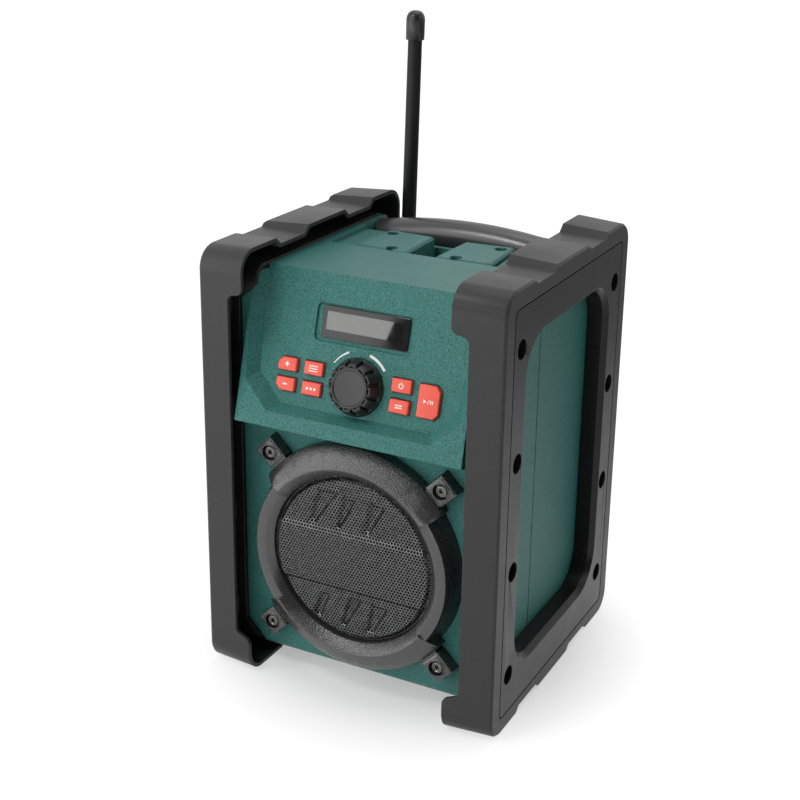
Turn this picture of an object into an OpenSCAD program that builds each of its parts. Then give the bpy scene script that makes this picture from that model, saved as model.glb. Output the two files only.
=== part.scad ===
// Jobsite radio: a two-part housing with a tilted console and a round speaker, held between
// two hollow bumpers. Millimetres; X to the right, Y to the back, Z up; the origin lies on the
// ground under the middle of the body.

/* [Bumpers] */
// Width over both bumpers
body_w = 200; // [190:1:230]
// Depth over the inner rims of the bumpers
body_d = 200; // [196:1:220]
// Height of the bumpers
body_h = 280.5; // [278:0.5:300]
// Radius of the bumpers' corners
corner_r = 14; // [8:1:18]
// How much shallower and lower a bumper is at its outer face
draft = 2.7; // [0.5:0.1:4]
// Wall of the bumpers
bumper_wall = 2.5; // [1.8:0.1:3]
// How far the top and bottom walls reach in from the outer face
bumper_reach = 31.8; // [28:0.2:33]
// How far the front and back walls stand back from that reach
bumper_step = 10.5; // [4:0.5:12]
// Radius of the steps in the bumpers' inner edges
step_r = 4.5; // [1:0.5:5]
// Height of the raised pads and feet
pad_h = 4.5; // [2:0.5:6]
// Half width of the middle pad
pad_mid = 22.5; // [16:0.5:26]
// Distance of an end pad from the middle
pad_end = 61; // [56:0.5:66]
// Length of a pad's slope
pad_slope = 5.5; // [3:0.5:8]

/* [Side plates] */
// Thickness of a side plate
plate_t = 4; // [3:0.5:5]
// Distance of a side plate from the bumper's front and back
plate_set = 15; // [12:0.5:17]
// Distance of a side plate from the bumper's top and bottom
plate_set_z = 12.25; // [11.5:0.25:15]
// Radius of a side plate's corners
plate_r = 3; // [1:0.5:6]
// Gap around a side plate
plate_gap = 1; // [0.3:0.1:1.4]
// Width of the side plate's border in front of and behind the window
window_set = 20.5; // [19:0.5:30]
// Height of the side plate's border above and below the window
window_set_z = 24; // [21:0.5:33]
// Radius of the window's corners
window_r = 24; // [12:1:30]
// Chamfer around the window
window_chamfer = 3.2; // [1:0.2:3.6]
// Wall of the window's return flange
flange_wall = 2.4; // [1.6:0.1:2.6]
// Number of side screws in a row
screw_rows = 4; // [2:1:4]
// Distance of a row of side screws from the side plate's edge
screw_set = 10.2; // [9.6:0.1:10.6]
// Distance of a row's end screws from the side plate's top and bottom
screw_set_z = 24.65; // [22:0.05:28]
// Bore over a side screw's head
head_bore = 12; // [10:0.5:12.4]
// Diameter of a side screw's head
head_d = 9; // [7:0.5:9.4]

/* [Side frames] */
// Wall of a side frame against the housing
frame_t = 3; // [2:0.5:4]
// Distance between a side frame and a bumper's side wall
frame_gap = 3.5; // [2:0.5:5]
// How far a side frame's front and back lie behind a bumper's rim
frame_set = 19; // [14:0.5:20]
// Height of a side frame's underside
frame_z = 12; // [9:0.5:14]
// Outer radius of a side frame's corners
frame_r = 10; // [6:1:14]

/* [Housing] */
// Wall of the housing
wall = 2.5; // [1.8:0.1:3]
// Radius of the housing's long edges
edge_r = 5; // [3:0.5:7]
// Place of the seam between front and rear housing
seam_y = -14.5; // [-20:0.5:-10]
// Thickness of the housing seal
seal_t = 1; // [0.6:0.1:1.6]

/* [Console] */
// Tilt of the control panel
tilt = 15.2; // [12:0.2:17]
// Gap between the console and the bumpers' narrow edges
console_gap = 2.7; // [1:0.1:4.5]
// Depth of the control panel below the console's rim
recess_d = 7.9; // [5:0.1:9]
// Thickness of the control panel
panel_t = 3; // [2.4:0.1:4]
// Length of the display lens
lens_w = 57.8; // [50:0.2:62]
// Height of the display lens
lens_h = 19.6; // [16:0.2:20]
// Length of a key
key_w = 12.8; // [10:0.2:14.4]
// Height of a key
key_h = 8; // [6:0.5:8.4]
// Height of a key above the panel
key_rise = 2.5; // [1.5:0.1:3]
// Travel of a key
key_travel = 1; // [0.5:0.1:1.2]
// Gap around a moving piece
play = 0.4; // [0.3:0.05:0.5]
// Radius of the volume knob
knob_r = 17.5; // [14:0.5:18]
// How much smaller the volume knob is at its face
knob_taper = 3.6; // [1:0.2:4]
// Height of the volume knob
knob_h = 10; // [7:0.5:12]
// Number of flats around the knob
knob_flats = 12; // [8:1:16]
// Diameter of the encoder shaft
shaft_d = 6; // [5:0.5:7]

/* [Speaker] */
// Distance of the speaker's centre below the deck
speaker_drop = 172.2; // [172:0.2:174]
// Radius of the grille
grille_r = 54.7; // [50:0.1:55]
// Half height of the raised band across the grille
band_hh = 17.5; // [10:0.5:20]
// Height of the grille in front of the bay face
grille_h = 10.6; // [8:0.2:11]
// Thickness of the grille's sheet
grille_t = 0.8; // [0.5:0.1:1.2]
// Outer radius of the speaker ring
ring_r = 74; // [71:0.5:74]
// Half angle of the ring's side sections
side_angle = 36; // [30:1:38]
// Distance of the ring's lugs from the centre, sideways and upwards
lug_at = 58.4; // [57:0.2:59]
// Half diagonal of a lug at its front
lug_r = 10.3; // [9:0.1:10.6]
// Travel of the cone to either side
cone_travel = 1.5; // [0.5:0.1:2]

/* [Top] */
// Length of a tool block
block_l = 44; // [36:0.5:46]
// Width of a tool block
block_w = 38; // [32:0.5:38.5]
// Half width of the trough between the tool blocks
trough = 9.5; // [6:0.5:10]
// Depth of the top tray
tray_d = 27; // [18:0.5:30]
// Diameter of the holes in the tool blocks
tool_hole = 8; // [5:0.5:9]
// Radius of the handle grip
grip_r = 10.8; // [9:0.1:11]
// Rise of the handle's middle over its ends
handle_rise = 10.8; // [9:0.2:12]
// Radius of the handle tube
tube_r = 7; // [5:0.25:7.5]

/* [Antenna] */
// Distance of the antenna from the housing's side
antenna_set = 29.5; // [28:0.5:36]
// Distance of the antenna's hinge below the deck
antenna_drop = 63; // [61:1:70]
// Height of the antenna's tip over its hinge
antenna_l = 199; // [150:1:210]
// Diameter of the antenna rod
rod_d = 9.4; // [7:0.2:10]
// Diameter of the antenna cap
cap_d = 12.4; // [10.6:0.2:13]
// Length of the antenna cap
cap_l = 19; // [12:0.5:24]
// Lean of the antenna rod to the right
antenna_lean = 1.2; // [0:0.1:2]

/* [Rear] */
// Width of the battery door
door_w = 116; // [112:1:120]
// Height of the battery door
door_h = 82; // [80:1:86]
// Thickness of the battery door
door_t = 3; // [2:0.2:4]
// Diameter of a battery cell
cell_d = 33; // [30:0.5:33.4]
// Length of a battery cell
cell_l = 61; // [56:0.5:61.5]
// Diameter of the hinge pins
pin_d = 3; // [2.4:0.1:3.4]

/* [Hidden] */
$fn = 64;
hull_fn = 32;
eps = 0.01;
fit = 0.05;
hw = body_w / 2;
hd = body_d / 2;

// side stack, from the outer face inwards
plate_x = hw - plate_t;
panel_x = plate_x - 3;
frame_x = panel_x - frame_gap;
house_hw = frame_x - frame_t;
bumper_in = hw - bumper_reach;
narrow_in = bumper_in + bumper_step;
plate_l = body_d - 2 * plate_set;
plate_h = body_h - 2 * plate_set_z;
plate_drop = 1.05;
plate_zc = body_h / 2 - plate_drop;
window_l = plate_l - 2 * window_set;
window_h = plate_h - 2 * window_set_z;
window_zc = plate_zc + 0.8;
flange_gap = 0.3;
screw_span = plate_l - 2 * screw_set;
screw_pitch = (plate_h - 2 * screw_set_z) / (screw_rows - 1);
screw_zc = plate_zc + 0.45;
boss_wall = 1.4;
boss_hole = head_bore + 2 * boss_wall + 2 * flange_gap;

// side frame
frame_y = hd - frame_set;
frame_top = body_h - 13.5;
frame_wall = 2.7;
frame_in = bumper_in + 2.2;
lip_in = house_hw - 4.2;
step_low = 16.5;
slope_low = 12;
slope_high = 9.5;

// housing
front_y = -(frame_y - 2);
rear_y = -front_y;
deck_z = frame_top - 1;
deck_hw = frame_in - 0.4;
face_hw = lip_in - 0.3;
side_y = frame_y - frame_wall - 0.8;
side_z0 = frame_z + 4;
side_z1 = frame_top - 4;
rim_y = -5;

// console
console_hw = narrow_in - console_gap;
panel_z = deck_z - 66;
panel_y = front_y - 4.7;
rim_low = -28.7;
flange_t = 0.7;
board_w = -panel_t - play - flange_t - key_travel - 1.3;
board_t = 1.6;
key_pitch_x = key_w + 5.2;
key_pitch_y = key_h + 4.2;
key_x = 29.4;
key_top = 10.6;
knob_v = 4.5;
knob_lean = atan((knob_taper - 1) / (knob_h - 2.5));
cap_r = knob_r - knob_taper - 2.1;
lens_v = 39.7;
lens_set = 1.4;
switch_h = 0.5;
membrane_t = 0.9;
stud_x = console_hw - 16;
stud_v = [24, 54];
post_x = console_hw - wall + 0.5;
post_z = [33, deck_z - 70];

// speaker
speaker_z = deck_z - speaker_drop;
ring_in = grille_r + 0.2;
opening_r = grille_r - 1.4;
flange_r = 62;

// top
tray_y = rim_y + 1;
tray_back = tray_y + block_l + 1.5;
tray_gap = 0.7;
shelf_hw = deck_hw - 6;
shelf_d = 3;
sill_d = 7.5;
sill_hw = trough + block_w - 5;
grip_y = frame_y - frame_wall - grip_r - 0.6;
grip_z = frame_top - 6.5;
handle_end = house_hw - wall;
handle_R = (handle_end * handle_end + handle_rise * handle_rise) / (2 * handle_rise);
recess_hw = deck_hw - 3.5;
recess_y = tray_back + wall + 0.8;
recess_z = deck_z - 49;

// rear
antenna_x = house_hw - antenna_set;
antenna_z = deck_z - antenna_drop;
antenna_out = 11;
door_z = 38;
door_y = rear_y + play;
hinge_z = door_z - 2.4;
hinge_y = door_y + 2.4;
box_hw = 54;
box_z0 = door_z + 4;
box_z1 = box_z0 + 70;
box_y0 = rear_y - wall - 72;
cell_pitch = cell_d + 1;
cover_x = 40;
board_z0 = box_z1 + 16;
board_z1 = recess_z - wall - 6.5;
cover_z = board_z0 + 24;
cover_w = 40;
cover_h = 24;
board_gap = 15;
board_post = post_x - 11;
board_hw = post_x - 2;
main_y = rear_y - wall - board_gap;
sink_w = 50;
sink_d = 18;
sink_z = board_z0 + 22;
sink_h = board_z1 - 18 - sink_z;

// ---- shared shapes ----

module rounded(w, h, r) {
    square([w - 2 * r, h], center = true);
    square([w, h - 2 * r], center = true);
    for (x = [-1, 1], y = [-1, 1])
        translate([x * (w / 2 - r), y * (h / 2 - r)]) circle(r);
}

// a slab across X, from x0 to x1, of a rounded outline around height zc
module side_slab(x0, x1, l, h, r, zc) {
    translate([x0, 0, zc]) rotate([90, 0, 90])
        linear_extrude(x1 - x0) rounded(l, h, r);
}

// a prism along Y of an outline in X and Z
module front_prism(y0, y1) {
    translate([0, y1, 0]) rotate([90, 0, 0]) linear_extrude(y1 - y0) children();
}

// a prism along X of an outline in Y and Z
module side_prism(x0, x1) {
    translate([x0, 0, 0]) rotate([90, 0, 90]) linear_extrude(x1 - x0) children();
}

module block(x0, x1, y0, y1, z0, z1) {
    translate([x0, y0, z0]) cube([x1 - x0, y1 - y0, z1 - z0]);
}

module tube(r_out, r_in, z0, z1) {
    translate([0, 0, z0]) linear_extrude(z1 - z0)
        difference() {
            circle(r_out);
            circle(r_in);
        }
}

// a screw along Z, its head's underside at 0 and its shank below
module screw(head_r, head_h, shank_r, length, socket_r) {
    difference() {
        union() {
            cylinder(r = head_r, h = head_h);
            translate([0, 0, -length]) cylinder(r = shank_r, h = length + eps);
        }
        translate([0, 0, head_h * 0.4]) cylinder(r = socket_r, h = head_h, $fn = 6);
    }
}

module on_panel() {
    translate([0, panel_y, panel_z]) rotate([90 - tilt, 0, 0]) children();
}

module on_bay() {
    translate([0, front_y, speaker_z]) rotate([90, 0, 0]) children();
}

module on_rear(x, z) {
    translate([x, rear_y, z]) rotate([-90, 0, 0]) children();
}

module both_sides() {
    children();
    mirror([1, 0, 0]) children();
}

module at_side_screws() {
    for (y = [-1, 1], i = [0 : screw_rows - 1])
        translate([0, y * screw_span / 2, screw_zc + (i - (screw_rows - 1) / 2) * screw_pitch])
            rotate([0, 90, 0]) children();
}

// ---- bumpers ----

module pad_gap(z, depth, grow) {
    for (y = [-1, 1])
        scale([1, y, 1]) side_prism(bumper_in - 1, hw + 1)
            polygon([[pad_mid - grow, z], [pad_mid + pad_slope - grow, z - depth],
                [pad_end - pad_slope + grow, z - depth], [pad_end + grow, z],
                [pad_end + grow, z + sign(depth) * 9], [pad_mid - grow, z + sign(depth) * 9]]);
}

// what the front and back walls leave open: wider between low and high, its steps' corners rounded
module step_cut(x_wide, x_in, y, low, low_slope, high, high_slope, r_in, r_out) {
    front_prism(-y, y) intersection() {
        translate([0, low - r_in]) square([x_wide, high - low + 2 * r_in]);
        offset(r = r_out) offset(delta = -r_out) offset(r = -r_in) offset(delta = r_in)
            polygon([[-60, low - 60], [x_in, low - 60], [x_in, low], [x_wide, low + low_slope],
                [x_wide, high - high_slope], [x_in, high], [x_in, high + 60], [-60, high + 60]]);
    }
}

module bumper() {
    inner = bumper_in;
    outer_h = body_h - draft / 2;
    difference() {
        hull() {
            side_slab(inner, inner + 0.2, body_d, body_h, corner_r, body_h / 2, $fn = hull_fn * 2);
            side_slab(hw - 1.6, hw - 1.4, body_d - 2 * draft, outer_h, corner_r, outer_h / 2,
                $fn = hull_fn * 2);
            side_slab(hw - 0.2, hw, body_d - 2 * draft - 2.4, outer_h - 2.4, corner_r - 1.2,
                outer_h / 2, $fn = hull_fn * 2);
        }
        pad_gap(body_h, pad_h, 0);
        pad_gap(0, -pad_h, 0);
        difference() {
            hull() {
                side_slab(inner - 0.2, inner, body_d - 2 * bumper_wall, body_h - 2 * bumper_wall,
                    corner_r - bumper_wall, body_h / 2);
                side_slab(hw - 3.2, hw - 3, body_d - 2 * draft - 2 * bumper_wall,
                    outer_h - 2 * bumper_wall, corner_r - bumper_wall, outer_h / 2);
            }
            pad_gap(body_h - bumper_wall, pad_h, bumper_wall / 2);
            pad_gap(bumper_wall, -pad_h, bumper_wall / 2);
            side_slab(panel_x, hw, plate_l + 2 * plate_gap + 2 * flange_wall,
                plate_h + 2 * plate_gap + 2 * flange_wall, 8, plate_zc);
        }
        side_slab(plate_x, hw + 1, plate_l + 2 * plate_gap, plate_h + 2 * plate_gap,
            plate_r + plate_gap, plate_zc);
        side_slab(panel_x - 1, hw, window_l + 2 * flange_wall + 2 * flange_gap,
            window_h + 2 * flange_wall + 2 * flange_gap, window_r + flange_wall, window_zc);
        translate([panel_x - 1, 0, 0]) at_side_screws() cylinder(d = boss_hole, h = 9);
        step_cut(narrow_in, inner, hd + 1, 24, 4, frame_top - 12.5, 2, step_r, step_r);
    }
}

module right_bumper() { color("#34302f") bumper(); }

module left_bumper() { color("#34302f") mirror([1, 0, 0]) bumper(); }

// ---- side plates and their screws ----

module side_plate() {
    difference() {
        union() {
            side_slab(plate_x, hw, plate_l, plate_h, plate_r, plate_zc);
            side_slab(house_hw + 0.5, plate_x + 1, window_l + 2 * flange_wall,
                window_h + 2 * flange_wall, window_r + flange_wall, window_zc);
            translate([frame_x, 0, 0]) at_side_screws()
                cylinder(d = head_bore + 2 * boss_wall, h = plate_x - frame_x + 1);
        }
        side_slab(house_hw, hw + 1, window_l, window_h, window_r, window_zc);
        hull() {
            side_slab(hw - window_chamfer, hw - window_chamfer + 0.1, window_l, window_h, window_r,
                window_zc);
            side_slab(hw, hw + 0.1, window_l + 2 * window_chamfer, window_h + 2 * window_chamfer,
                window_r + window_chamfer, window_zc);
        }
        translate([panel_x, 0, 0]) at_side_screws() cylinder(d = head_bore, h = 20);
        translate([house_hw, 0, 0]) at_side_screws() cylinder(d = head_d / 2, h = 20);
    }
}

module right_side_plate() { color("#2e2b2b") side_plate(); }

module left_side_plate() { color("#2e2b2b") mirror([1, 0, 0]) side_plate(); }

module side_screws() {
    translate([panel_x, 0, 0]) at_side_screws()
        screw(head_d / 2, 3.2, head_d / 4 - 0.1, panel_x - house_hw - 0.3, head_d / 4);
}

module right_side_screws() { color("#4a4846") side_screws(); }

module left_side_screws() { color("#4a4846") mirror([1, 0, 0]) side_screws(); }

// ---- side frames ----

module side_frame() {
    l = 2 * frame_y;
    h = frame_top - frame_z;
    zc = (frame_top + frame_z) / 2;
    difference() {
        union() {
            side_slab(frame_in, frame_x, l, h, frame_r, zc);
            translate([frame_x - 1, 0, 0]) at_side_screws()
                cylinder(d = boss_hole + 4.6, h = frame_gap + 1);
        }
        side_slab(frame_in - 1, house_hw, l - 2 * frame_wall, h - 2 * frame_wall,
            frame_r - frame_wall, zc);
        side_slab(house_hw - 1, hw, window_l + 2 * flange_wall + 2 * flange_gap,
            window_h + 2 * flange_wall + 2 * flange_gap, window_r + flange_wall, window_zc);
        translate([frame_x, 0, 0]) at_side_screws() cylinder(d = boss_hole, h = 9);
        translate([house_hw - 1, 0, 0]) at_side_screws() cylinder(d = head_d / 2, h = 9);
        step_cut(lip_in, frame_in, frame_y + 1, step_low - 0.5, slope_low, frame_top - 11.2,
            slope_high, 3, eps);
        translate([house_hw - 1, grip_y, handle_end_z()]) rotate([0, 90, 0]) {
            cylinder(r = 1.9, h = 9);
            translate([0, 0, frame_t + 1]) cylinder(r = 3.2, h = 9);
        }
    }
}

module right_side_frame() { color("#262424") side_frame(); }

module left_side_frame() { color("#262424") mirror([1, 0, 0]) side_frame(); }

// ---- housing ----

// the housing's body, drawn in by the given amount
module body_solid(in) {
    intersection() {
        front_prism(front_y + in, rear_y - in) union() {
            for (x = [-1, 1])
                scale([x, 1]) polygon([[-eps, frame_z + in], [deck_hw - in, frame_z + in],
                    [deck_hw - in, step_low + in / 2], [face_hw - in, step_low + slope_low + in / 2],
                    [face_hw - in, frame_top - 11.5 - slope_high - in / 2],
                    [deck_hw - in, frame_top - 11.5 - in / 2], [deck_hw - in, deck_z - in],
                    [-eps, deck_z - in]]);
        }
        side_slab(-house_hw, house_hw, 2 * (rear_y - in), deck_z - frame_z - 2 * in,
            max(edge_r - in, 1), (deck_z + frame_z) / 2);
    }
    side_slab(-house_hw + in, house_hw - in, 2 * (side_y - in), side_z1 - side_z0 - 2 * in,
        8, (side_z0 + side_z1) / 2);
}

// the side outline of the console, drawn in by the given amount
module console_outline(in) {
    t = tan(tilt);
    rim = recess_d / cos(tilt);
    low_z = panel_z + rim_low * cos(tilt) + recess_d * sin(tilt);
    low_y = panel_y + (low_z - panel_z) * t - rim;
    top_z = deck_z - 1.8;
    top_y = panel_y + (top_z - panel_z) * t - rim;
    polygon([[low_y + in * 1.1, low_z + in * 0.6], [top_y + in * 1.1, top_z - in],
        [front_y + 18, top_z - in + 0.8], [front_y + 18, low_z - 6.5 + in],
        [front_y + in, low_z - 6.5 + in]]);
}

module console_solid(in) {
    side_prism(-deck_hw + in, deck_hw - in) console_outline(in);
    intersection() {
        side_prism(-console_hw + in, console_hw - in) console_outline(in);
        block(-hw, hw, -hd - 20, 0, 0, side_z1 - in);
    }
}

// half outlines of the sunk control face, at its rim and at its bottom
function recess_rim(a) = [[0, -19], [a - 18.8, -19], [a - 1.9, -2.4], [a, 21], [a, 72], [0, 72]];
function recess_low(a, i) = [[0, -19 + 1.1 * i], [a - 18.8 - i + 0.2, -19 + 1.1 * i],
    [a - 1.9 - i, -2.4 + 1.14 * i], [a - i - 0.1, 40], [a - 3.8, 72], [0, 72]];

// the sunk control face's space, lowered by a depth and grown sideways
module panel_recess(depth, grow) {
    rim = console_hw - 2.2;
    hull() {
        translate([0, 0, -depth]) linear_extrude(0.1) offset(delta = grow) for (x = [-1, 1])
            scale([x, 1]) polygon(recess_low(rim, 0.62 * recess_d));
        translate([0, 0, recess_d - depth]) linear_extrude(12) offset(delta = grow) for (x = [-1, 1])
            scale([x, 1]) polygon(recess_rim(rim));
    }
}

module key_holes() {
    for (k = keys)
        translate([0, 0, -panel_t - 1]) linear_extrude(panel_t + 2) key_shape(k, play);
    translate([0, knob_v, -panel_t - 1]) cylinder(d = shaft_d + 3, h = panel_t + 2);
}

// keys: name, centre across, centre up, length, height, cut corners (left top, left bottom, right)
keys = [
    ["plus", -key_x - key_pitch_x, key_top, key_w, key_h, 1, 0, 0],
    ["minus", -key_x - key_pitch_x, key_top - key_pitch_y, key_w, key_h, 0, 1, 0],
    ["info", -key_x, key_top, key_w, key_h, 0, 0, 0],
    ["preset", -key_x, key_top - key_pitch_y, key_w, key_h, 0, 0, 0],
    ["power", key_x, key_top, key_w, key_h, 0, 0, 0],
    ["source", key_x, key_top - key_pitch_y, key_w, key_h, 0, 0, 0],
    ["play", key_x + key_pitch_x + 0.4, key_top - key_pitch_y / 2, key_w + 0.9,
        key_h + key_pitch_y - 0.7, 0, 0, 1]];

// a key's outline, grown by the given gap
module key_shape(k, grow) {
    cut = 3;
    lt = k[5] * cut;
    lb = k[6] * cut;
    rc = k[7] * cut;
    w = k[3] / 2 + grow;
    h = k[4] / 2 + grow;
    translate([k[1], k[2]])
        polygon([[-w, -h + lb], [-w + lb, -h], [w - rc, -h], [w, -h + rc], [w, h - rc],
            [w - rc, h], [-w + lt, h], [-w, h - lt]]);
}

module lens_pocket() {
    translate([0, lens_v - 0.7, -lens_set]) linear_extrude(4) rounded(lens_w + 8.2, lens_h + 3.4, 3.5);
    translate([0, lens_v + 1.5, -panel_t - 1]) linear_extrude(panel_t + 2)
        rounded(lens_w - 4.8, lens_h - 6.6, 1);
}

module at_studs() {
    for (x = [-1, 1], v = stud_v)
        translate([x * stud_x, v, 0]) children();
}

module at_lugs() {
    for (x = [-1, 1], z = [-1, 1])
        translate([x * lug_at, z * lug_at, 0]) children();
}

module at_speaker_screws() {
    for (a = [0 : 90 : 270])
        rotate(a) translate([flange_r - 3.6, 0, 0]) children();
}

// posts for the long screws that close the housing
module at_posts() {
    for (x = [-1, 1], z = post_z)
        translate([x * post_x, 0, z]) children();
}

module post(y0, y1, r) {
    translate([0, y1, 0]) rotate([90, 0, 0]) cylinder(r = r, h = y1 - y0);
}

// which half of the housing: the front takes the deck as far as the tray's rim
module front_half() {
    block(-hw, hw, -hd - 40, seam_y, 0, body_h + 20);
    block(-deck_hw - eps, deck_hw + eps, seam_y - 1, rim_y, deck_z - wall - eps, body_h + 20);
}

// the console's and the body's outer or inner form
module front_form(in) {
    body_solid(in);
    console_solid(in);
}

module front_housing() {
    color("#23645f") difference() {
        union() {
            intersection() {
                difference() {
                    front_form(0);
                    front_form(wall);
                }
                front_half();
            }
            intersection() {
                console_solid(0);
                on_panel() panel_recess(panel_t, 1.6);
                front_half();
            }
            on_panel() at_studs() translate([0, 0, board_w]) cylinder(r = 2.6, h = -board_w - panel_t / 2);
            on_bay() at_lugs() translate([0, 0, -12]) cylinder(r = 4, h = 12 - wall + eps);
            at_posts() post(front_y + wall - eps, seam_y, 4);
        }
        on_panel() {
            panel_recess(0, 0);
            lens_pocket();
            key_holes();
            at_studs() translate([0, 0, board_w - 1]) cylinder(r = 1, h = -board_w - 0.5);
        }
        on_bay() {
            translate([0, 0, -wall - 1]) cylinder(r = opening_r, h = wall + 2, $fn = 128);
            at_lugs() translate([0, 0, -13]) cylinder(r = 2, h = 14);
            at_speaker_screws() translate([0, 0, -wall - 1]) cylinder(r = 1.5, h = wall);
        }
        at_posts() post(front_y + wall + 4, seam_y + 1, 1.6);
    }
}

// the outline of a tool block's pocket, grown by the given gap
module block_outline(grow) {
    translate([trough, tray_y])
        offset(delta = grow)
            polygon([[0, 0.5], [2, 0], [block_w, 3], [block_w - 3, block_l + 1.5],
                [1.5, block_l - 1]]);
}

// the tray: a pocket for each block, the trough, a sill to the hand recess and shelves at the sides
module tray_solid(grow) {
    low = deck_z - tray_d - grow;
    both_sides() translate([0, 0, low]) linear_extrude(body_h) block_outline(tray_gap + grow);
    block(-trough - 2, trough + 2, tray_y - tray_gap - grow, tray_back + grow, low, body_h);
    block(-sill_hw - grow, sill_hw + grow, tray_back - 3, recess_y + 1, deck_z - sill_d - grow, body_h);
    block(-shelf_hw - grow, shelf_hw + grow, tray_y - tray_gap - grow, recess_y + 1,
        deck_z - shelf_d - grow, body_h);
}

module hand_recess(grow) {
    block(-recess_hw - grow, recess_hw + grow, recess_y - grow, hd + 10, recess_z - grow, body_h);
}

module handle_bores() {
    both_sides() translate([recess_hw - 1, grip_y, handle_z(recess_hw + wall / 2)]) rotate([0, 90, 0])
        cylinder(r = tube_r + 0.8, h = wall + 2);
    both_sides() translate([handle_end - 1, grip_y, handle_end_z()]) rotate([0, 90, 0])
        cylinder(r = 1.9, h = wall + 2);
}

module rear_openings() {
    block(-box_hw + 2, box_hw - 2, rear_y - wall - 5, rear_y + 1, box_z0 + 2, box_z1 - 2);
    block(cover_x - cover_w / 2 + 4, cover_x + cover_w / 2 - 4, rear_y - wall - 1, rear_y + 1,
        cover_z + 4, cover_z + cover_h - 4);
}

// a hinge's lugs on the rear face, for a pin along X
module hinge_lugs(x, z, w) {
    for (s = [-1, 1])
        translate([x + s * w, 0, 0]) {
            block(-3, 3, rear_y - eps, hinge_y, z - 2.4, z + 2.4);
            translate([-3, hinge_y, z]) rotate([0, 90, 0]) cylinder(r = 2.4, h = 6);
        }
}

// posts for the main board, from its back to the rear wall
module at_board_posts() {
    for (x = [-1, 1], z = [board_z0 + 10, board_z1 - 16])
        translate([x * board_post, main_y, z]) rotate([-90, 0, 0]) children();
}

module rear_housing() {
    color("#23645f") difference() {
        union() {
            difference() {
                body_solid(0);
                difference() {
                    body_solid(wall);
                    tray_solid(wall);
                    hand_recess(wall);
                }
                front_half();
                block(-hw, hw, seam_y - 1, seam_y + seal_t, 0, deck_z - wall - eps);
            }
            at_posts() post(seam_y + seal_t, rear_y - wall + eps, 4);
            hinge_lugs(0, hinge_z, 38);
            hinge_lugs(cover_x, cover_z - 2.4, 16);
            at_board_posts() cylinder(r = 3.4, h = board_gap + eps);
        }
        tray_solid(0);
        hand_recess(0);
        handle_bores();
        rear_openings();
        at_posts() {
            post(seam_y, rear_y + 1, 2);
            post(rear_y - 6, rear_y + 1, 3.2);
        }
        at_board_posts() translate([0, 0, -1]) cylinder(r = 1.2, h = board_gap - 3);
        for (z = [hinge_z, cover_z - 2.4])
            translate([-hw, hinge_y, z]) rotate([0, 90, 0]) cylinder(d = pin_d, h = body_w);
        for (s = [-1, 1])
            on_rear(-antenna_x, antenna_z + s * 9) translate([0, 0, -wall - 1]) cylinder(r = 1.5, h = 9);
    }
}

module housing_seal() {
    color("#202020") intersection() {
        difference() {
            body_solid(0.4);
            body_solid(wall - 0.4);
        }
        block(-hw, hw, seam_y, seam_y + seal_t, 0, deck_z - wall - 0.2);
    }
}

module housing_screws() {
    color("silver") at_posts()
        translate([0, rear_y - 6, 0]) rotate([-90, 0, 0]) screw(3, 2.2, 1.5, rear_y - 6 - seam_y + 20, 1.6);
}

// ---- speaker ----

// a double wedge to the left and right of the speaker's centre
module side_wedge(angle) {
    reach = 2 * ring_r;
    linear_extrude(30) for (x = [-1, 1])
        polygon([[0, 0], [x * reach, reach * tan(angle)], [x * reach, -reach * tan(angle)]]);
}

module speaker_ring() {
    side = [[ring_in, 0], [ring_r - 3.2, 0], [ring_r - 8.5, 14], [ring_r - 15, 14],
        [ring_in, grille_h - 0.4]];
    raised = [[ring_in, 0], [ring_r, 0], [ring_r - 0.1, 8], [ring_r - 5.6, 12.3],
        [ring_r - 13, 16], [ring_in, grille_h - 0.4]];
    color("#2a2829") on_bay() difference() {
        union() {
            intersection() {
                rotate_extrude($fn = 180) polygon(side);
                translate([0, 0, -5]) side_wedge(side_angle + 0.2);
            }
            difference() {
                rotate_extrude($fn = 180) polygon(raised);
                translate([0, 0, -5]) side_wedge(side_angle);
            }
            at_lugs() {
                cylinder(r1 = lug_r + 1, r2 = lug_r, h = 7.8, $fn = 4);
                translate([0, 0, 7.8 - eps]) cylinder(r1 = lug_r, r2 = lug_r - 2, h = 1.2, $fn = 4);
                cylinder(r = 5.8, h = 9.4);
            }
            // necks that join the lugs to the ring
            for (a = [45 : 90 : 315])
                rotate(a) translate([ring_r - 6, -lug_r * 0.6, 0]) cube([10, lug_r * 1.2, 7]);
        }
        at_lugs() {
            translate([0, 0, 4.5]) cylinder(r = 5, h = 9);
            translate([0, 0, -1]) cylinder(r = 2, h = 9);
        }
    }
}

module ring_screws() {
    color("#3b3836") on_bay() at_lugs() translate([0, 0, 4.5]) screw(3.6, 2.6, 1.9, 14, 1.8);
}

module speaker_grille() {
    color("#5b5d5e") on_bay() {
        tube(grille_r, grille_r - grille_t, 0, grille_h - 1);
        translate([0, 0, grille_h - 1 - grille_t]) linear_extrude(grille_t)
            difference() {
                circle(grille_r, $fn = 128);
                square([4 * grille_r, 2 * band_hh - 2], center = true);
            }
        intersection() {
            cylinder(r = grille_r - eps, h = grille_h, $fn = 128);
            translate([0, 0, grille_h - 1 - grille_t + eps]) linear_extrude(1 + grille_t - eps)
                square([4 * grille_r, 2 * band_hh], center = true);
        }
    }
}

module speaker_gasket() {
    color("#1c1c1c") on_bay() difference() {
        tube(flange_r, flange_r - 7, -wall - 1.5, -wall);
        at_speaker_screws() translate([0, 0, -wall - 3]) cylinder(r = 2, h = 6);
    }
}

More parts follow.
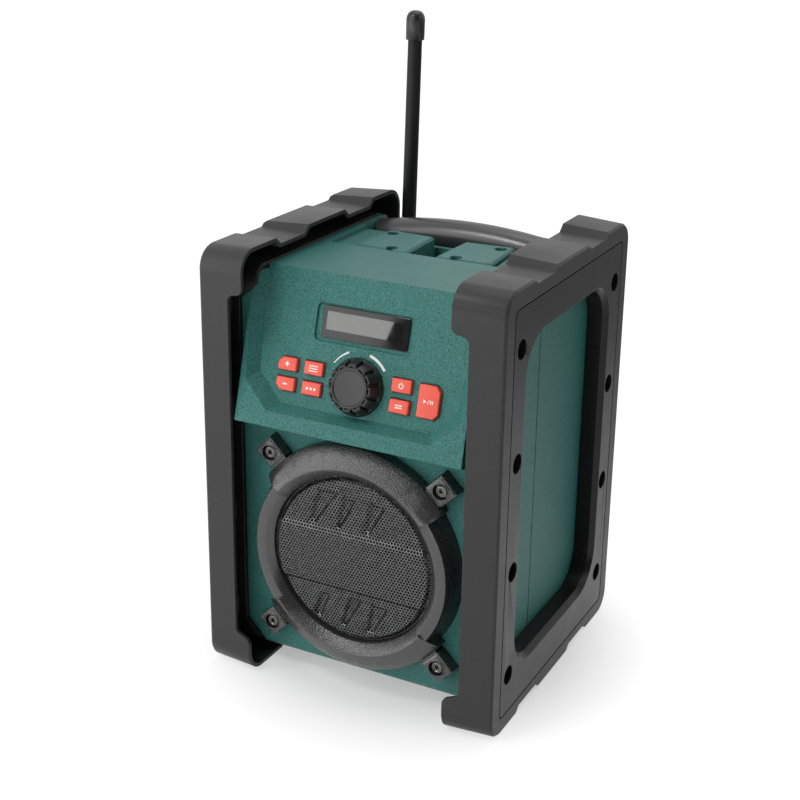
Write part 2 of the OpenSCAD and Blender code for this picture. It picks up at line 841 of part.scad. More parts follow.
module speaker_basket() {
    z0 = -wall - 1.5;
    color("#3a3c3f") on_bay() difference() {
        rotate_extrude($fn = 96)
            polygon([[50, z0], [flange_r, z0], [flange_r, z0 - 2], [52.6, z0 - 2], [51, z0 - 6],
                [37, z0 - 28], [37, z0 - 32], [18, z0 - 32], [18, z0 - 30], [34.6, z0 - 30],
                [34.6, z0 - 27], [50, z0 - 4]]);
        for (a = [0 : 60 : 300])
            rotate(a + 30) translate([44, 0, z0 - 17]) rotate([90, 0, 0])
                cylinder(r = 8.5, h = 26, center = true);
        at_speaker_screws() translate([0, 0, z0 - 3]) cylinder(r = 1.6, h = 6);
    }
}

module speaker_magnet() {
    z0 = -wall - 33.5;
    gap = z0 - 17 - 2 * cone_travel;
    color("#55585c") on_bay() rotate_extrude($fn = 96)
        polygon([[0, z0 + 2], [12.2, z0 + 2], [12.2, gap], [17, gap], [17, z0 - 5],
            [13.9, z0 - 5], [13.9, z0], [35, z0], [35, z0 - 5], [38, z0 - 5], [38, gap + 1],
            [35, gap + 1], [35, gap - 4], [0, gap - 4]]);
}

module speaker_surround() {
    z0 = -wall - 1.5;
    color("#151515") on_bay() rotate_extrude($fn = 96) union() {
        translate([46.5, z0 + 0.1]) difference() {
            circle(3.6);
            circle(2.9);
            translate([-5, -10]) square([10, 10]);
        }
        translate([49.3, z0]) square([5, 0.8]);
    }
}

module speaker_cone() {
    z0 = -wall - 1.5;
    color("#2b2b2b") on_bay() {
        rotate_extrude($fn = 96)
            polygon([[42.2, z0], [42.2, z0 - 0.8], [13.5, z0 - 22], [13.5, z0 - 40],
                [12.7, z0 - 40], [12.7, z0 - 21.5], [40.6, z0]]);
        translate([0, 0, z0 - 21.6]) intersection() {
            translate([0, 0, -8]) difference() {
                sphere(15.4, $fn = 48);
                sphere(14.4, $fn = 48);
            }
            cylinder(r = 13, h = 20);
        }
    }
}

module speaker_screws() {
    color("silver") on_bay() at_speaker_screws()
        translate([0, 0, -wall - 3.5]) rotate([180, 0, 0]) screw(3, 2, 1.4, 4.6, 1.4);
}

// ---- console pieces ----

module display_lens() {
    color("#101214") on_panel() translate([0, lens_v, -lens_set]) linear_extrude(lens_set - 0.2)
        rounded(lens_w, lens_h, 1.5);
}

module lcd_module() {
    w = lens_w + 3.2;
    color("#b9bfb8") on_panel() translate([-w / 2, lens_v - 6.7, board_w])
        cube([w, lens_h - 2.6, -board_w - panel_t]);
}

module volume_knob() {
    color("#1d1c1c") on_panel() translate([0, knob_v, play]) difference() {
        union() {
            cylinder(r1 = knob_r, r2 = knob_r - 1, h = 2.5, $fn = 96);
            translate([0, 0, 2.5 - eps])
                cylinder(r1 = knob_r - 1, r2 = knob_r - knob_taper, h = knob_h - 2.5, $fn = 96);
        }
        for (i = [0 : knob_flats - 1])
            rotate(i * 360 / knob_flats) translate([knob_r + 0.3, 0, 2.5])
                rotate([0, -knob_lean, 0]) cylinder(r = 1.7, h = knob_h + 2);
        translate([0, 0, knob_h - 1.6]) cylinder(r = cap_r + 0.1, h = 4);
        translate([0, 0, -1]) cylinder(d = shaft_d, h = knob_h - 1.6);
        translate([0, 0, -eps]) tube(cap_r - 0.6, 8, 0, knob_h - 4);
    }
}

module knob_cap() {
    color("#8a8a86") on_panel() translate([0, knob_v, play + knob_h - 1.6])
        rotate_extrude($fn = 96)
            polygon([[0, 0], [cap_r, 0], [cap_r, 1.6], [cap_r - 1.1, 1.9], [cap_r - 2.6, 1.2],
                [cap_r / 2, 0.8], [0, 0.7]]);
}

module encoder_body() {
    color("#b7b9bb") on_panel() translate([0, knob_v, 0]) difference() {
        union() {
            translate([-6, -6, board_w]) cube([12, 12, -board_w - panel_t - 0.1]);
            translate([0, 0, -panel_t - 0.2]) cylinder(d = shaft_d + 2.6, h = panel_t + 0.2);
        }
        translate([0, 0, board_w + 0.6]) cylinder(d = shaft_d + 2 * fit, h = 20);
    }
}

module encoder_shaft() {
    color("#c9c9c4") on_panel() translate([0, knob_v, board_w + 1])
        cylinder(d = shaft_d - eps, h = play + knob_h - 2.7 - board_w - 1);
}

module button(i) {
    k = keys[i];
    lip = 1;
    flange = [k[0], k[1], k[2], k[3] + 2 * lip, k[4] + 2 * lip, k[5], k[6], k[7]];
    color("#e2664f") on_panel() {
        hull() {
            translate([0, 0, -panel_t]) linear_extrude(panel_t + key_rise - 0.6) key_shape(k, 0);
            linear_extrude(key_rise) key_shape(k, -0.6);
        }
        translate([0, 0, -panel_t - play - flange_t]) linear_extrude(flange_t) key_shape(flange, 0);
        translate([0, 0, -panel_t - play - 0.1]) linear_extrude(play + 0.2) key_shape(k, -0.5);
    }
}

module plus_button() { button(0); }
module minus_button() { button(1); }
module info_button() { button(2); }
module preset_button() { button(3); }
module power_button() { button(4); }
module source_button() { button(5); }
module play_button() { button(6); }

module key_switches() {
    color("#d8d4c8") on_panel() for (k = keys)
        translate([k[1] - 2.5, k[2] - 2.5, board_w]) cube([5, 5, switch_h]);
}

module keypad_membrane() {
    color("#4a4a4a") on_panel() for (s = [-1, 1])
        difference() {
            translate([s * (key_x + key_pitch_x / 2) - 18, key_top - key_pitch_y / 2 - 13, board_w])
                cube([36, 26, membrane_t]);
            for (k = keys)
                translate([k[1] - 2.5, k[2] - 2.5, board_w - 1]) cube([5, 5, 1.5]);
        }
}

module control_board() {
    color("#2f6b3f") on_panel() difference() {
        translate([-stud_x - 4, -13, board_w - board_t]) cube([2 * stud_x + 8, stud_v[1] + 18, board_t]);
        at_studs() translate([0, 0, board_w - 5]) cylinder(r = 1.2, h = 9);
    }
}

module control_screws() {
    color("silver") on_panel() at_studs() translate([0, 0, board_w - board_t]) rotate([180, 0, 0])
        screw(2.4, 1.6, 0.9, board_t + 3.5, 1.1);
}

// ---- top ----

module tool_block() {
    top = deck_z;
    low = deck_z - tray_d;
    difference() {
        hull() {
            translate([0, 0, low]) linear_extrude(tray_d - 1.6) block_outline(0);
            translate([0, 0, low]) linear_extrude(tray_d) block_outline(-1.4);
        }
        difference() {
            translate([0, 0, low - 1]) linear_extrude(tray_d - wall + 1) block_outline(-wall);
            at_tool_holes() translate([0, 0, low - 2]) cylinder(d = tool_hole + 4, h = tray_d + 2);
        }
        at_tool_holes() translate([0, 0, low + 3]) cylinder(d = tool_hole, h = tray_d);
    }
}

module at_tool_holes() {
    translate([trough + 12.7, tray_y + 5.5, 0]) children();
    translate([trough + block_w - 9.1, tray_y + block_l - 6.8, 0]) children();
}

module right_tool_block() { color("#23645f") tool_block(); }

module left_tool_block() { color("#23645f") mirror([1, 0, 0]) tool_block(); }

// height of the handle's centre line at its ends
function handle_drop(x) = handle_R - sqrt(handle_R * handle_R - x * x);
function handle_z(x) = grip_z - handle_drop(x);
function handle_end_z() = handle_z(handle_end);

module handle_arc(r, r_in, x) {
    a = asin(x / handle_R);
    translate([0, grip_y, grip_z - handle_R]) rotate([90, 0, 0]) rotate(90 - a)
        rotate_extrude(angle = 2 * a, $fn = 360) translate([handle_R, 0]) difference() {
            circle(r, $fn = 48);
            circle(r_in, $fn = 48);
        }
}

module handle_grip() { color("#1b1a1a") handle_arc(grip_r, tube_r, recess_hw - 0.3 - grip_r * 0.17); }

module handle_tube() {
    color("#8d9093") difference() {
        union() {
            handle_arc(tube_r - eps, tube_r - 1.5, handle_end - 4);
            both_sides() translate([handle_end - 8, grip_y, handle_end_z()]) rotate([0, 90, 0])
                cylinder(r = tube_r + 1, h = 8);
        }
        both_sides() translate([handle_end - 7, grip_y, handle_end_z()]) rotate([0, 90, 0])
            cylinder(r = 1.8, h = 9);
    }
}

module handle_screws() {
    color("silver") both_sides() translate([frame_x, grip_y, handle_end_z()]) rotate([0, 90, 0])
        screw(2.8, 2.4, 1.7, frame_t + wall + 6, 1.5);
}

// ---- antenna ----

module antenna_bracket() {
    ear_x = 8.5;
    color("#242323") translate([-antenna_x, rear_y, antenna_z]) difference() {
        union() {
            block(-11, 11, 0, 3, -14, 12);
            for (s = [-1, 1])
                hull() {
                    translate([s * ear_x - 2, antenna_out, 0]) rotate([0, 90, 0])
                        cylinder(r = 5, h = 4, $fn = hull_fn);
                    block(s * ear_x - 2, s * ear_x + 2, 0, 3, -9, 8);
                }
        }
        translate([-12, antenna_out, 0]) rotate([0, 90, 0]) cylinder(d = pin_d, h = 24);
        for (s = [-1, 1])
            translate([0, -1, s * 9]) rotate([-90, 0, 0]) cylinder(r = 1.5, h = 9);
    }
}

module antenna_screws() {
    color("silver") for (s = [-1, 1])
        on_rear(-antenna_x, antenna_z + s * 9) translate([0, 0, 3]) screw(2.8, 1.8, 1.4, 7, 1.3);
}

module antenna_pin() {
    color("silver") translate([-antenna_x, rear_y + antenna_out, antenna_z]) rotate([0, 90, 0])
        cylinder(d = pin_d, h = 21, center = true);
}

module antenna_knuckle() {
    color("#1c1b1b") translate([-antenna_x, rear_y + antenna_out, antenna_z]) difference() {
        union() {
            rotate([0, 90, 0]) cylinder(r = 5, h = 12, center = true);
            cylinder(d = rod_d + 1.6, h = 14);
        }
        rotate([0, 90, 0]) cylinder(d = pin_d + 2 * fit, h = 14, center = true);
        translate([0, 0, 9]) cylinder(d = rod_d - 3, h = 9);
    }
}

module on_antenna() {
    translate([-antenna_x, rear_y + antenna_out, antenna_z + 14.15]) rotate([0, antenna_lean, 0])
        children();
}

module antenna_rod() {
    color("#201f1f") {
        on_antenna() cylinder(r1 = rod_d / 2 + 0.3, r2 = rod_d / 2, h = antenna_l - 14 - cap_l);
        translate([-antenna_x, rear_y + antenna_out, antenna_z + 9.2]) cylinder(d = rod_d - 3.2, h = 6);
    }
}

module antenna_cap() {
    color("#0e0e0e") on_antenna() translate([0, 0, antenna_l - 14 - cap_l])
        rotate_extrude($fn = 64)
            polygon([[0, 0], [cap_d / 2 - 0.5, 0], [cap_d / 2, 0.6], [cap_d / 2, cap_l * 0.55],
                [cap_d / 2 - 1, cap_l * 0.72], [cap_d / 2 - 2.6, cap_l * 0.88], [0, cap_l]]);
}

// ---- rear ----

module battery_box() {
    color("#232323") difference() {
        union() {
            block(-box_hw, box_hw, box_y0, rear_y - wall, box_z0, box_z1);
            block(-box_hw - 4, box_hw + 4, rear_y - wall - 2, rear_y - wall, box_z0 - 4, box_z1 + 4);
        }
        block(-box_hw + 2, box_hw - 2, box_y0 + 2, rear_y, box_z0 + 2, box_z1 - 2);
    }
}

module at_cells() {
    for (x = [-1 : 1], y = [0, 1])
        translate([x * cell_pitch, box_y0 + 3 + cell_pitch / 2 + y * cell_pitch, 0]) children();
}

module battery_contacts() {
    color("#c8c4b4") at_cells() {
        translate([0, 0, box_z0 + 2]) cylinder(r = 8, h = 0.6);
        translate([0, 0, box_z0 + 2.6 + cell_l + 0.2]) cylinder(r = 6, h = box_z1 - box_z0 - 4.8 - cell_l);
    }
}

module battery_cells() {
    color("#8c6a2f") at_cells() translate([0, 0, box_z0 + 2.6]) {
        cylinder(d = cell_d, h = cell_l - 1.5);
        cylinder(r = 4.5, h = cell_l);
    }
}

module battery_door() {
    color("#23645f") difference() {
        union() {
            block(-door_w / 2, door_w / 2, door_y, door_y + door_t, door_z + 0.6, door_z + door_h);
            for (s = [-1, 1])
                translate([s * 26, 0, 0]) {
                    translate([-8, hinge_y, hinge_z]) rotate([0, 90, 0]) cylinder(r = 2.4, h = 16);
                    block(-8, 8, hinge_y - 1.6, door_y + door_t, hinge_z, door_z + 2);
                }
            block(-14, 14, door_y + door_t - eps, door_y + door_t + 3, door_z + door_h - 6,
                door_z + door_h - 2);
        }
        translate([-door_w, hinge_y, hinge_z]) rotate([0, 90, 0])
            cylinder(d = pin_d + 2 * fit, h = 2 * door_w);
        for (i = [-2 : 2])
            block(i * 20 - 7, i * 20 + 7, door_y + door_t - 0.8, door_y + door_t + 9, door_z + 16,
                door_z + door_h - 18);
    }
}

module hinge_pins() {
    color("silver") {
        translate([-41, hinge_y, hinge_z]) rotate([0, 90, 0]) cylinder(d = pin_d, h = 82);
        translate([cover_x - 19, hinge_y, cover_z - 2.4]) rotate([0, 90, 0]) cylinder(d = pin_d, h = 38);
    }
}

module jack_cover() {
    color("#1d1d1d") difference() {
        union() {
            block(cover_x - cover_w / 2, cover_x + cover_w / 2, door_y, door_y + 2.4, cover_z + 0.6,
                cover_z + cover_h);
            translate([cover_x - 12, hinge_y, cover_z - 2.4]) rotate([0, 90, 0])
                cylinder(r = 2.4, h = 24);
            block(cover_x - 12, cover_x + 12, hinge_y - 1.6, door_y + 2.4, cover_z - 2.4, cover_z + 2);
            block(cover_x - 5, cover_x + 5, door_y + 2.3, door_y + 4.4, cover_z + cover_h - 3,
                cover_z + cover_h - 1);
        }
        translate([cover_x - cover_w, hinge_y, cover_z - 2.4]) rotate([0, 90, 0])
            cylinder(d = pin_d + 2 * fit, h = 2 * cover_w);
    }
}

module main_board() {
    color("#2f6b3f") difference() {
        block(-board_hw, board_hw, main_y - board_t, main_y, board_z0, board_z1);
        at_board_posts() translate([0, 0, -5]) cylinder(r = 1.6, h = 9);
        at_posts() post(0, rear_y, 5);
    }
}

module heat_sink() {
    fins = 7;
    pitch = (sink_w - 2) / (fins - 1);
    color("#9a9c9e") translate([13 - board_post, main_y - board_t, sink_z]) {
        block(0, sink_w, -4, 0, 0, sink_h);
        for (i = [0 : fins - 1])
            block(i * pitch, i * pitch + 2, -sink_d, -4 + eps, 0, sink_h);
    }
}

module board_screws() {
    color("silver") at_board_posts() translate([0, 0, -board_t]) rotate([180, 0, 0])
        screw(3, 2, 1.1, 9, 1.4);
}

module jack_panel() {
    color("#1a1a1a") difference() {
        block(cover_x - 19, cover_x + 19, rear_y - wall - 2, rear_y - wall, cover_z + 1,
            cover_z + cover_h - 1);
        at_sockets() cylinder(r = 4.6, h = 10, center = true);
    }
}

module at_sockets() {
    for (s = [-1, 1])
        translate([cover_x + s * 8, rear_y - wall, cover_z + cover_h / 2]) rotate([-90, 0, 0]) children();
}

module sockets() {
    depth = rear_y - wall - main_y;
    color("#3c3c3c") at_sockets() difference() {
        union() {
            translate([0, 0, -depth]) cylinder(r = 4.5, h = depth);
            translate([-5.5, -5.5, -depth]) cube([11, 11, depth - 2.2]);
        }
        translate([0, 0, -depth + 2]) cylinder(r = 2.75, h = depth);
    }
}

front_housing();
rear_housing();
housing_seal();
left_side_frame();
right_side_frame();
left_bumper();
right_bumper();
left_side_plate();
right_side_plate();
left_side_screws();
right_side_screws();
speaker_ring();
ring_screws();
speaker_grille();
speaker_gasket();
speaker_basket();
speaker_magnet();
speaker_surround();
speaker_cone();
speaker_screws();
display_lens();
lcd_module();
volume_knob();
knob_cap();
encoder_body();
encoder_shaft();
plus_button();
minus_button();
info_button();
preset_button();
power_button();
source_button();
play_button();
keypad_membrane();
key_switches();
control_board();
control_screws();
left_tool_block();
right_tool_block();
handle_grip();
handle_tube();
handle_screws();
antenna_bracket();
antenna_screws();
antenna_pin();
antenna_knuckle();
antenna_rod();
antenna_cap();
battery_box();
battery_contacts();
battery_cells();
battery_door();
hinge_pins();
main_board();
heat_sink();
board_screws();
jack_panel();
sockets();
jack_cover();
housing_screws();
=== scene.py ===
# %% [markdown]
# A jobsite radio, dressed for its picture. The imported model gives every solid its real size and
# place. Here the visible ones get their finish, and those whose edges, textures and small forms
# matter are modelled again as finer pieces that stand exactly where the solids stand.

# %% Load the frame
import math

import bpy
from mathutils import Matrix, Vector


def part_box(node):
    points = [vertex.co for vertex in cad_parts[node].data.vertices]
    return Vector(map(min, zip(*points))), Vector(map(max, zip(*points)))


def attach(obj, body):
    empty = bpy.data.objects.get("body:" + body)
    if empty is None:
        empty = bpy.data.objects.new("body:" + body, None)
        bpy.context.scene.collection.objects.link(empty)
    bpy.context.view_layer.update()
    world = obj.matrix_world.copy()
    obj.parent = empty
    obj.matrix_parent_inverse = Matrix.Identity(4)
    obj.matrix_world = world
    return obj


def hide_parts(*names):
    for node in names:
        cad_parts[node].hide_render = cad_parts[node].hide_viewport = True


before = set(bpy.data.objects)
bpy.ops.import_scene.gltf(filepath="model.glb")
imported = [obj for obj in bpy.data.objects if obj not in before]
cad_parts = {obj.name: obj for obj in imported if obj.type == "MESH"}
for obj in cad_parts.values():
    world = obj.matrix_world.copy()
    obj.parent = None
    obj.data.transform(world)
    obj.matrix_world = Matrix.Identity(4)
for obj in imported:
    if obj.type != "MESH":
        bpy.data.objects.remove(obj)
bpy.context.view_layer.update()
print("frame loaded:", len(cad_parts), "solids")

# %% [markdown]
# Lengths are written in millimetres, as on a drawing, and MM turns them into metres. The camera
# comes first, so that every look at the model is from the same place. It could be set by eye, but
# numbers keep it exact: three angles, a place, and a focal length in picture points, which the
# helper turns into the millimetres of a lens.

# %% Camera
MM = 0.001
SENSOR_WIDTH, PICTURE_WIDTH = 36, 800
CLIP_NEAR, CLIP_FAR = 0.05, 40


def degrees(angle):
    return math.radians(angle)


def add_camera(azimuth, elevation, roll, place, focal_points, shift):
    camera_data = bpy.data.cameras.new("camera")
    camera = bpy.data.objects.new("camera", camera_data)
    bpy.context.scene.collection.objects.link(camera)
    camera_data.sensor_width = SENSOR_WIDTH
    camera_data.lens = focal_points * SENSOR_WIDTH / PICTURE_WIDTH
    camera_data.shift_x, camera_data.shift_y = shift
    camera_data.clip_start, camera_data.clip_end = CLIP_NEAR, CLIP_FAR
    turn = Matrix.Rotation(degrees(azimuth), 4, "Z")
    turn = turn @ Matrix.Rotation(degrees(90 - elevation), 4, "X")
    turn = turn @ Matrix.Rotation(degrees(roll), 4, "Z")
    camera.matrix_world = Matrix.Translation(Vector(place) * MM) @ turn
    bpy.context.scene.camera = camera
    return camera


camera = add_camera(azimuth=27.391, elevation=19.323, roll=0.824, place=(391.2, -783.6, 509.3),
                    focal_points=1463.6, shift=(0, -0.0625))
print("camera lens %.1f mm" % camera.data.lens)

# %% [markdown]
# The floor, the world and every finish are small networks of shader nodes. They could be wired by
# hand in the node editor. These helpers make the steps that most of them share, so that each
# finish stays short. Blender's noise rarely leaves the range from 0.3 to 0.7, so map_to stretches
# that range unless it is told otherwise.

# %% Helpers: shader nodes


def new_paint(name):
    """A new material, with its nodes, its links and its main shader."""
    paint = bpy.data.materials.new(name)
    paint.use_nodes = True
    nodes = paint.node_tree.nodes
    return paint, nodes, paint.node_tree.links, nodes["Principled BSDF"]


def fill(node, values):
    """Set a node's inputs by their names or numbers."""
    for name, value in values.items():
        node.inputs[name].default_value = value


def wire(links, shader, colour, gloss, normal=None):
    links.new(colour, shader.inputs["Base Color"])
    links.new(gloss, shader.inputs["Roughness"])
    if normal:
        links.new(normal, shader.inputs["Normal"])


def map_to(nodes, links, source, low, high, start=0.3, end=0.7):
    span = nodes.new("ShaderNodeMapRange")
    fill(span, {"From Min": start, "From Max": end, "To Min": low, "To Max": high})
    links.new(source, span.inputs["Value"])
    return span.outputs["Result"]


def math_node(nodes, links, operation, first, second):
    step = nodes.new("ShaderNodeMath")
    step.operation = operation
    links.new(first, step.inputs[0])
    links.new(second, step.inputs[1])
    return step.outputs["Value"]


def along(nodes, links, source, direction):
    dot = nodes.new("ShaderNodeVectorMath")
    dot.operation = "DOT_PRODUCT"
    fill(dot, {1: direction})
    links.new(source, dot.inputs[0])
    return dot.outputs["Value"]


def background_rays(nodes, links, mirrored):
    """1 for camera and transmitted rays, and the given share for mirrored ones."""
    rays = nodes.new("ShaderNodeLightPath")
    clear = math_node(nodes, links, "MAXIMUM",
                      rays.outputs["Is Camera Ray"], rays.outputs["Is Transmission Ray"])
    glossy = math_node(nodes, links, "MULTIPLY", rays.outputs["Is Glossy Ray"], mirrored)
    return math_node(nodes, links, "MAXIMUM", clear, glossy)


def two_tone(nodes, links, factor, dark, light):
    mix = nodes.new("ShaderNodeMix")
    mix.data_type = "RGBA"
    fill(mix, {"A": (*dark, 1), "B": (*light, 1)})
    links.new(factor, mix.inputs["Factor"])
    return mix.outputs["Result"]


def grey(level):
    return (level, level, level)


print("node helpers ready")

# %% [markdown]
# The radio stands on a white sweep. A sheet that curves up behind it could be built and lit, but a
# flat floor needs less. It is pale by colour, and it also glows for the camera, so that it reads
# as white paper. Close to the radio the glow is weaker, which paints a soft shadow round its
# centre;
# the real shadow under the feet shows in it too. Behind the radio the floor fades for mirrored
# rays, as a sweep that curves up would.

# %% Floor
FLOOR_SIZE = 24
LOOK_ALONG = (0.46, 0.89, 0)  # the way the camera looks, along the floor
PALE_FADE, GLOW_FADE = (0.1, 0.8), (0.1, 0.7)  # metres behind the radio
# painted shadow: within this reach of the radio's centre the floor's glow is dimmed
PAINTED_SHADOW_REACH = (0.092, 0.175)  # metres from the radio's centre
GLOW_IN_PAINTED_SHADOW, GLOW = 0.35, 1.1


def pick_nothing():
    bpy.ops.object.select_all(action="DESELECT")


def add_floor():
    bpy.ops.mesh.primitive_plane_add(size=FLOOR_SIZE, location=(0, 0, 0))
    floor = bpy.context.object
    floor.name = "floor"
    paint, nodes, links, shader = new_paint("floor_white")
    fill(shader, {"Roughness": 0.6, "Specular IOR Level": 0.1})
    place = nodes.new("ShaderNodeTexCoord").outputs["Object"]
    beyond = along(nodes, links, place, LOOK_ALONG)
    pale = map_to(nodes, links, beyond, 1, 0, *PALE_FADE)
    shade = two_tone(nodes, links, pale, grey(0.3), grey(0.85))
    links.new(shade, shader.inputs["Base Color"])
    length = nodes.new("ShaderNodeVectorMath")
    length.operation = "LENGTH"
    links.new(place, length.inputs[0])
    # painted shadow: the glow is dimmed near the radio's centre, whether or not the radio shades
    # the floor there
    near = map_to(nodes, links, length.outputs["Value"], GLOW_IN_PAINTED_SHADOW, 1, *PAINTED_SHADOW_REACH)
    mirrored = map_to(nodes, links, beyond, 1, 0.1, *GLOW_FADE)
    seen = background_rays(nodes, links, mirrored)
    glow = nodes.new("ShaderNodeEmission")
    fill(glow, {"Strength": GLOW})
    both = nodes.new("ShaderNodeMixShader")
    links.new(math_node(nodes, links, "MULTIPLY", seen, near), both.inputs["Fac"])
    links.new(shader.outputs["BSDF"], both.inputs[1])
    links.new(glow.outputs["Emission"], both.inputs[2])
    links.new(both.outputs["Shader"], nodes["Material Output"].inputs["Surface"])
    floor.data.materials.append(paint)
    return floor


pick_nothing()
floor = add_floor()
print("floor ready:", floor.name)

# %% [markdown]
# The world is white for the camera too. For all other rays it is bright behind the radio and dim
# in front of it and at its right, as a studio is. Black plastic then has dark fronts, and tops that
# mirror the wall. An image of a studio could do this too, but two plain backgrounds, mixed by
# direction, need no file.

# %% World
WALL = (-0.35, 0.9, 0.25)  # the way to the bright wall
WALL_FADE = (-0.3, 0.6)


def studio_world(front, back):
    world = bpy.data.worlds.new("studio")
    bpy.context.scene.world = world
    world.use_nodes = True
    nodes, links = world.node_tree.nodes, world.node_tree.links
    nodes.clear()
    out = nodes.new("ShaderNodeOutputWorld")
    white = nodes.new("ShaderNodeBackground")
    fill(white, {"Color": (1, 1, 1, 1), "Strength": 1})
    room = nodes.new("ShaderNodeBackground")
    fill(room, {"Color": (0.8, 0.8, 0.8, 1)})
    place = nodes.new("ShaderNodeTexCoord")
    behind = along(nodes, links, place.outputs["Generated"], WALL)
    strength = map_to(nodes, links, behind, front, back, *WALL_FADE)
    links.new(strength, room.inputs["Strength"])
    seen = background_rays(nodes, links, map_to(nodes, links, behind, 0, 1, *WALL_FADE))
    mix = nodes.new("ShaderNodeMixShader")
    links.new(seen, mix.inputs["Fac"])
    links.new(room.outputs["Background"], mix.inputs[1])
    links.new(white.outputs["Background"], mix.inputs[2])
    links.new(mix.outputs["Shader"], out.inputs["Surface"])


studio_world(front=0.12, back=1.0)
print("world ready:", bpy.context.scene.world.name)

# %% [markdown]
# Six lamps light it. The key is a tall softbox at the front left. Its right edge is placed so
# that its mirror image ends on the display, which gives the slanted line across the glass. A small
# one in front lights the face between the bumpers, and a low, wide one lights what faces down, as
# the white table does. A small upper one draws the edges that face up. A top lamp opens the deck,
# and a narrow one at the right draws the edges of the side window. Spots could be used instead, but
# an area lamp's size sets how soft its shadows and how broad its highlights are.

# %% Lamps


def add_lamp(name, place, target, size, power):
    lamp_data = bpy.data.lights.new(name, "AREA")
    lamp_data.shape = "RECTANGLE"
    lamp_data.size, lamp_data.size_y = size
    lamp_data.energy = power
    lamp = bpy.data.objects.new(name, lamp_data)
    bpy.context.scene.collection.objects.link(lamp)
    lamp.location = place
    aim = Vector(target) - Vector(place)
    lamp.rotation_euler = aim.to_track_quat("-Z", "Y").to_euler()
    return lamp


def add_key(edge, up, away, size, power):
    """A softbox whose right edge passes through a point, along a direction."""
    lamp = add_lamp("key", (0, 0, 0), (0, 0, -1), size, power)
    up, away = Vector(up).normalized(), Vector(away).normalized()
    right = up.cross(away).normalized()
    up = away.cross(right)
    centre = Vector(edge) * MM - right * size[0] / 2
    lamp.matrix_world = Matrix.Translation(centre) @ Matrix((right, up, away)).transposed().to_4x4()


add_key(edge=(-558, -1222, 434), up=(0.212, 0.059, 0.975), away=(-0.442, -0.884, 0.15),
        size=(1.1, 1.5), power=12)
lamps = [  # name, place, target and size in metres, power in watts
    ("front", (-0.05, -1.5, 0.75), (0, 0, 0.15), (0.5, 0.5), 2.5),
    ("low", (-0.25, -1.1, 0.06), (0, -0.1, 0.17), (0.9, 0.1), 1.5),
    ("upper", (-0.35, -0.75, 1.25), (0, -0.08, 0.2), (0.35, 0.35), 5),
    ("top", (0.1, 0.3, 1.7), (0, 0, 0.2), (1.0, 1.0), 5),
    ("right", (1.5, 0.1, 0.9), (0.1, 0, 0.15), (0.4, 1.0), 2.5),
]
for name, place, target, size, power in lamps:
    add_lamp(name, place, target, size, power)
bpy.context.scene.view_settings.view_transform = "Standard"

# %% [markdown]
# Moulded plastic is never one flat colour. The mould is etched, so the surface has a fine grain
# that breaks the light up, the pigment varies with it, and the gloss clouds a little. One helper
# makes all such plastics: two tones, a grain of a given size and depth, and a Bevel node that
# rounds every edge as a real mould does. All patterns read Object coordinates, so the grain has the
# same size on every piece. Image textures could do this too, but noise needs no file and no
# unwrapping.

# %% Helper: moulded plastic
CLOUD_SIZE = 14
GLOSS_SPREAD = 0.03


def noise_on(nodes, links, place, size, detail=2, rough=0.5):
    noise = nodes.new("ShaderNodeTexNoise")
    fill(noise, {"Scale": 1 / (size * MM), "Detail": detail, "Roughness": rough})
    links.new(place.outputs["Object"], noise.inputs["Vector"])
    return noise


def rounded_bump(nodes, links, height, depth, rounding):
    """A bump of a given depth, over edges rounded by a given radius, both in millimetres."""
    bump = nodes.new("ShaderNodeBump")
    fill(bump, {"Distance": depth * MM, "Strength": 1})
    links.new(height, bump.inputs["Height"])
    if rounding:
        edge = nodes.new("ShaderNodeBevel")
        edge.samples = 6
        fill(edge, {"Radius": rounding * MM})
        links.new(edge.outputs["Normal"], bump.inputs["Normal"])
    return bump.outputs["Normal"]


def moulded(name, dark, light, rough, grain, depth, rounding, specular=0.5):
    paint, nodes, links, shader = new_paint(name)
    fill(shader, {"Specular IOR Level": specular})
    place = nodes.new("ShaderNodeTexCoord")
    cloud = noise_on(nodes, links, place, CLOUD_SIZE, detail=3)
    fine = noise_on(nodes, links, place, grain, detail=2, rough=0.55)
    tone = map_to(nodes, links, fine.outputs["Fac"], 0, 1, 0.32, 0.68)
    colour = two_tone(nodes, links, tone, dark, light)
    gloss = map_to(nodes, links, cloud.outputs["Fac"], rough - GLOSS_SPREAD, rough + GLOSS_SPREAD)
    normal = rounded_bump(nodes, links, fine.outputs["Fac"], depth, rounding)
    wire(links, shader, colour, gloss, normal)
    return paint


teal = moulded("teal_abs", (0.012, 0.084, 0.076), (0.046, 0.225, 0.2),
               rough=0.35, grain=0.85, depth=0.8, rounding=1.0, specular=0.36)
bumper_black = moulded("bumper_black", (0.038, 0.0375, 0.0375), (0.046, 0.0455, 0.045),
                       rough=0.38, grain=0.7, depth=0.015, rounding=0.8, specular=0.18)
plate_black = moulded("plate_black", (0.009, 0.0085, 0.0085), (0.012, 0.0115, 0.0115),
                      rough=0.3, grain=0.7, depth=0.012, rounding=0.5, specular=0.22)
frame_black = moulded("frame_black", grey(0.01), grey(0.014),
                      rough=0.5, grain=0.8, depth=0.03, rounding=0.8)
grip_rubber = moulded("grip_rubber", (0.034, 0.0335, 0.0335), (0.042, 0.0415, 0.0415),
                      rough=0.3, grain=0.6, depth=0.015, rounding=0, specular=0.75)
mast_rubber = moulded("mast_rubber", grey(0.008), grey(0.011),
                      rough=0.36, grain=0.6, depth=0.01, rounding=0, specular=0.18)
outer_plastics = [teal, bumper_black, plate_black, frame_black, grip_rubber, mast_rubber]
print("plastics:", [paint.name for paint in outer_plastics])

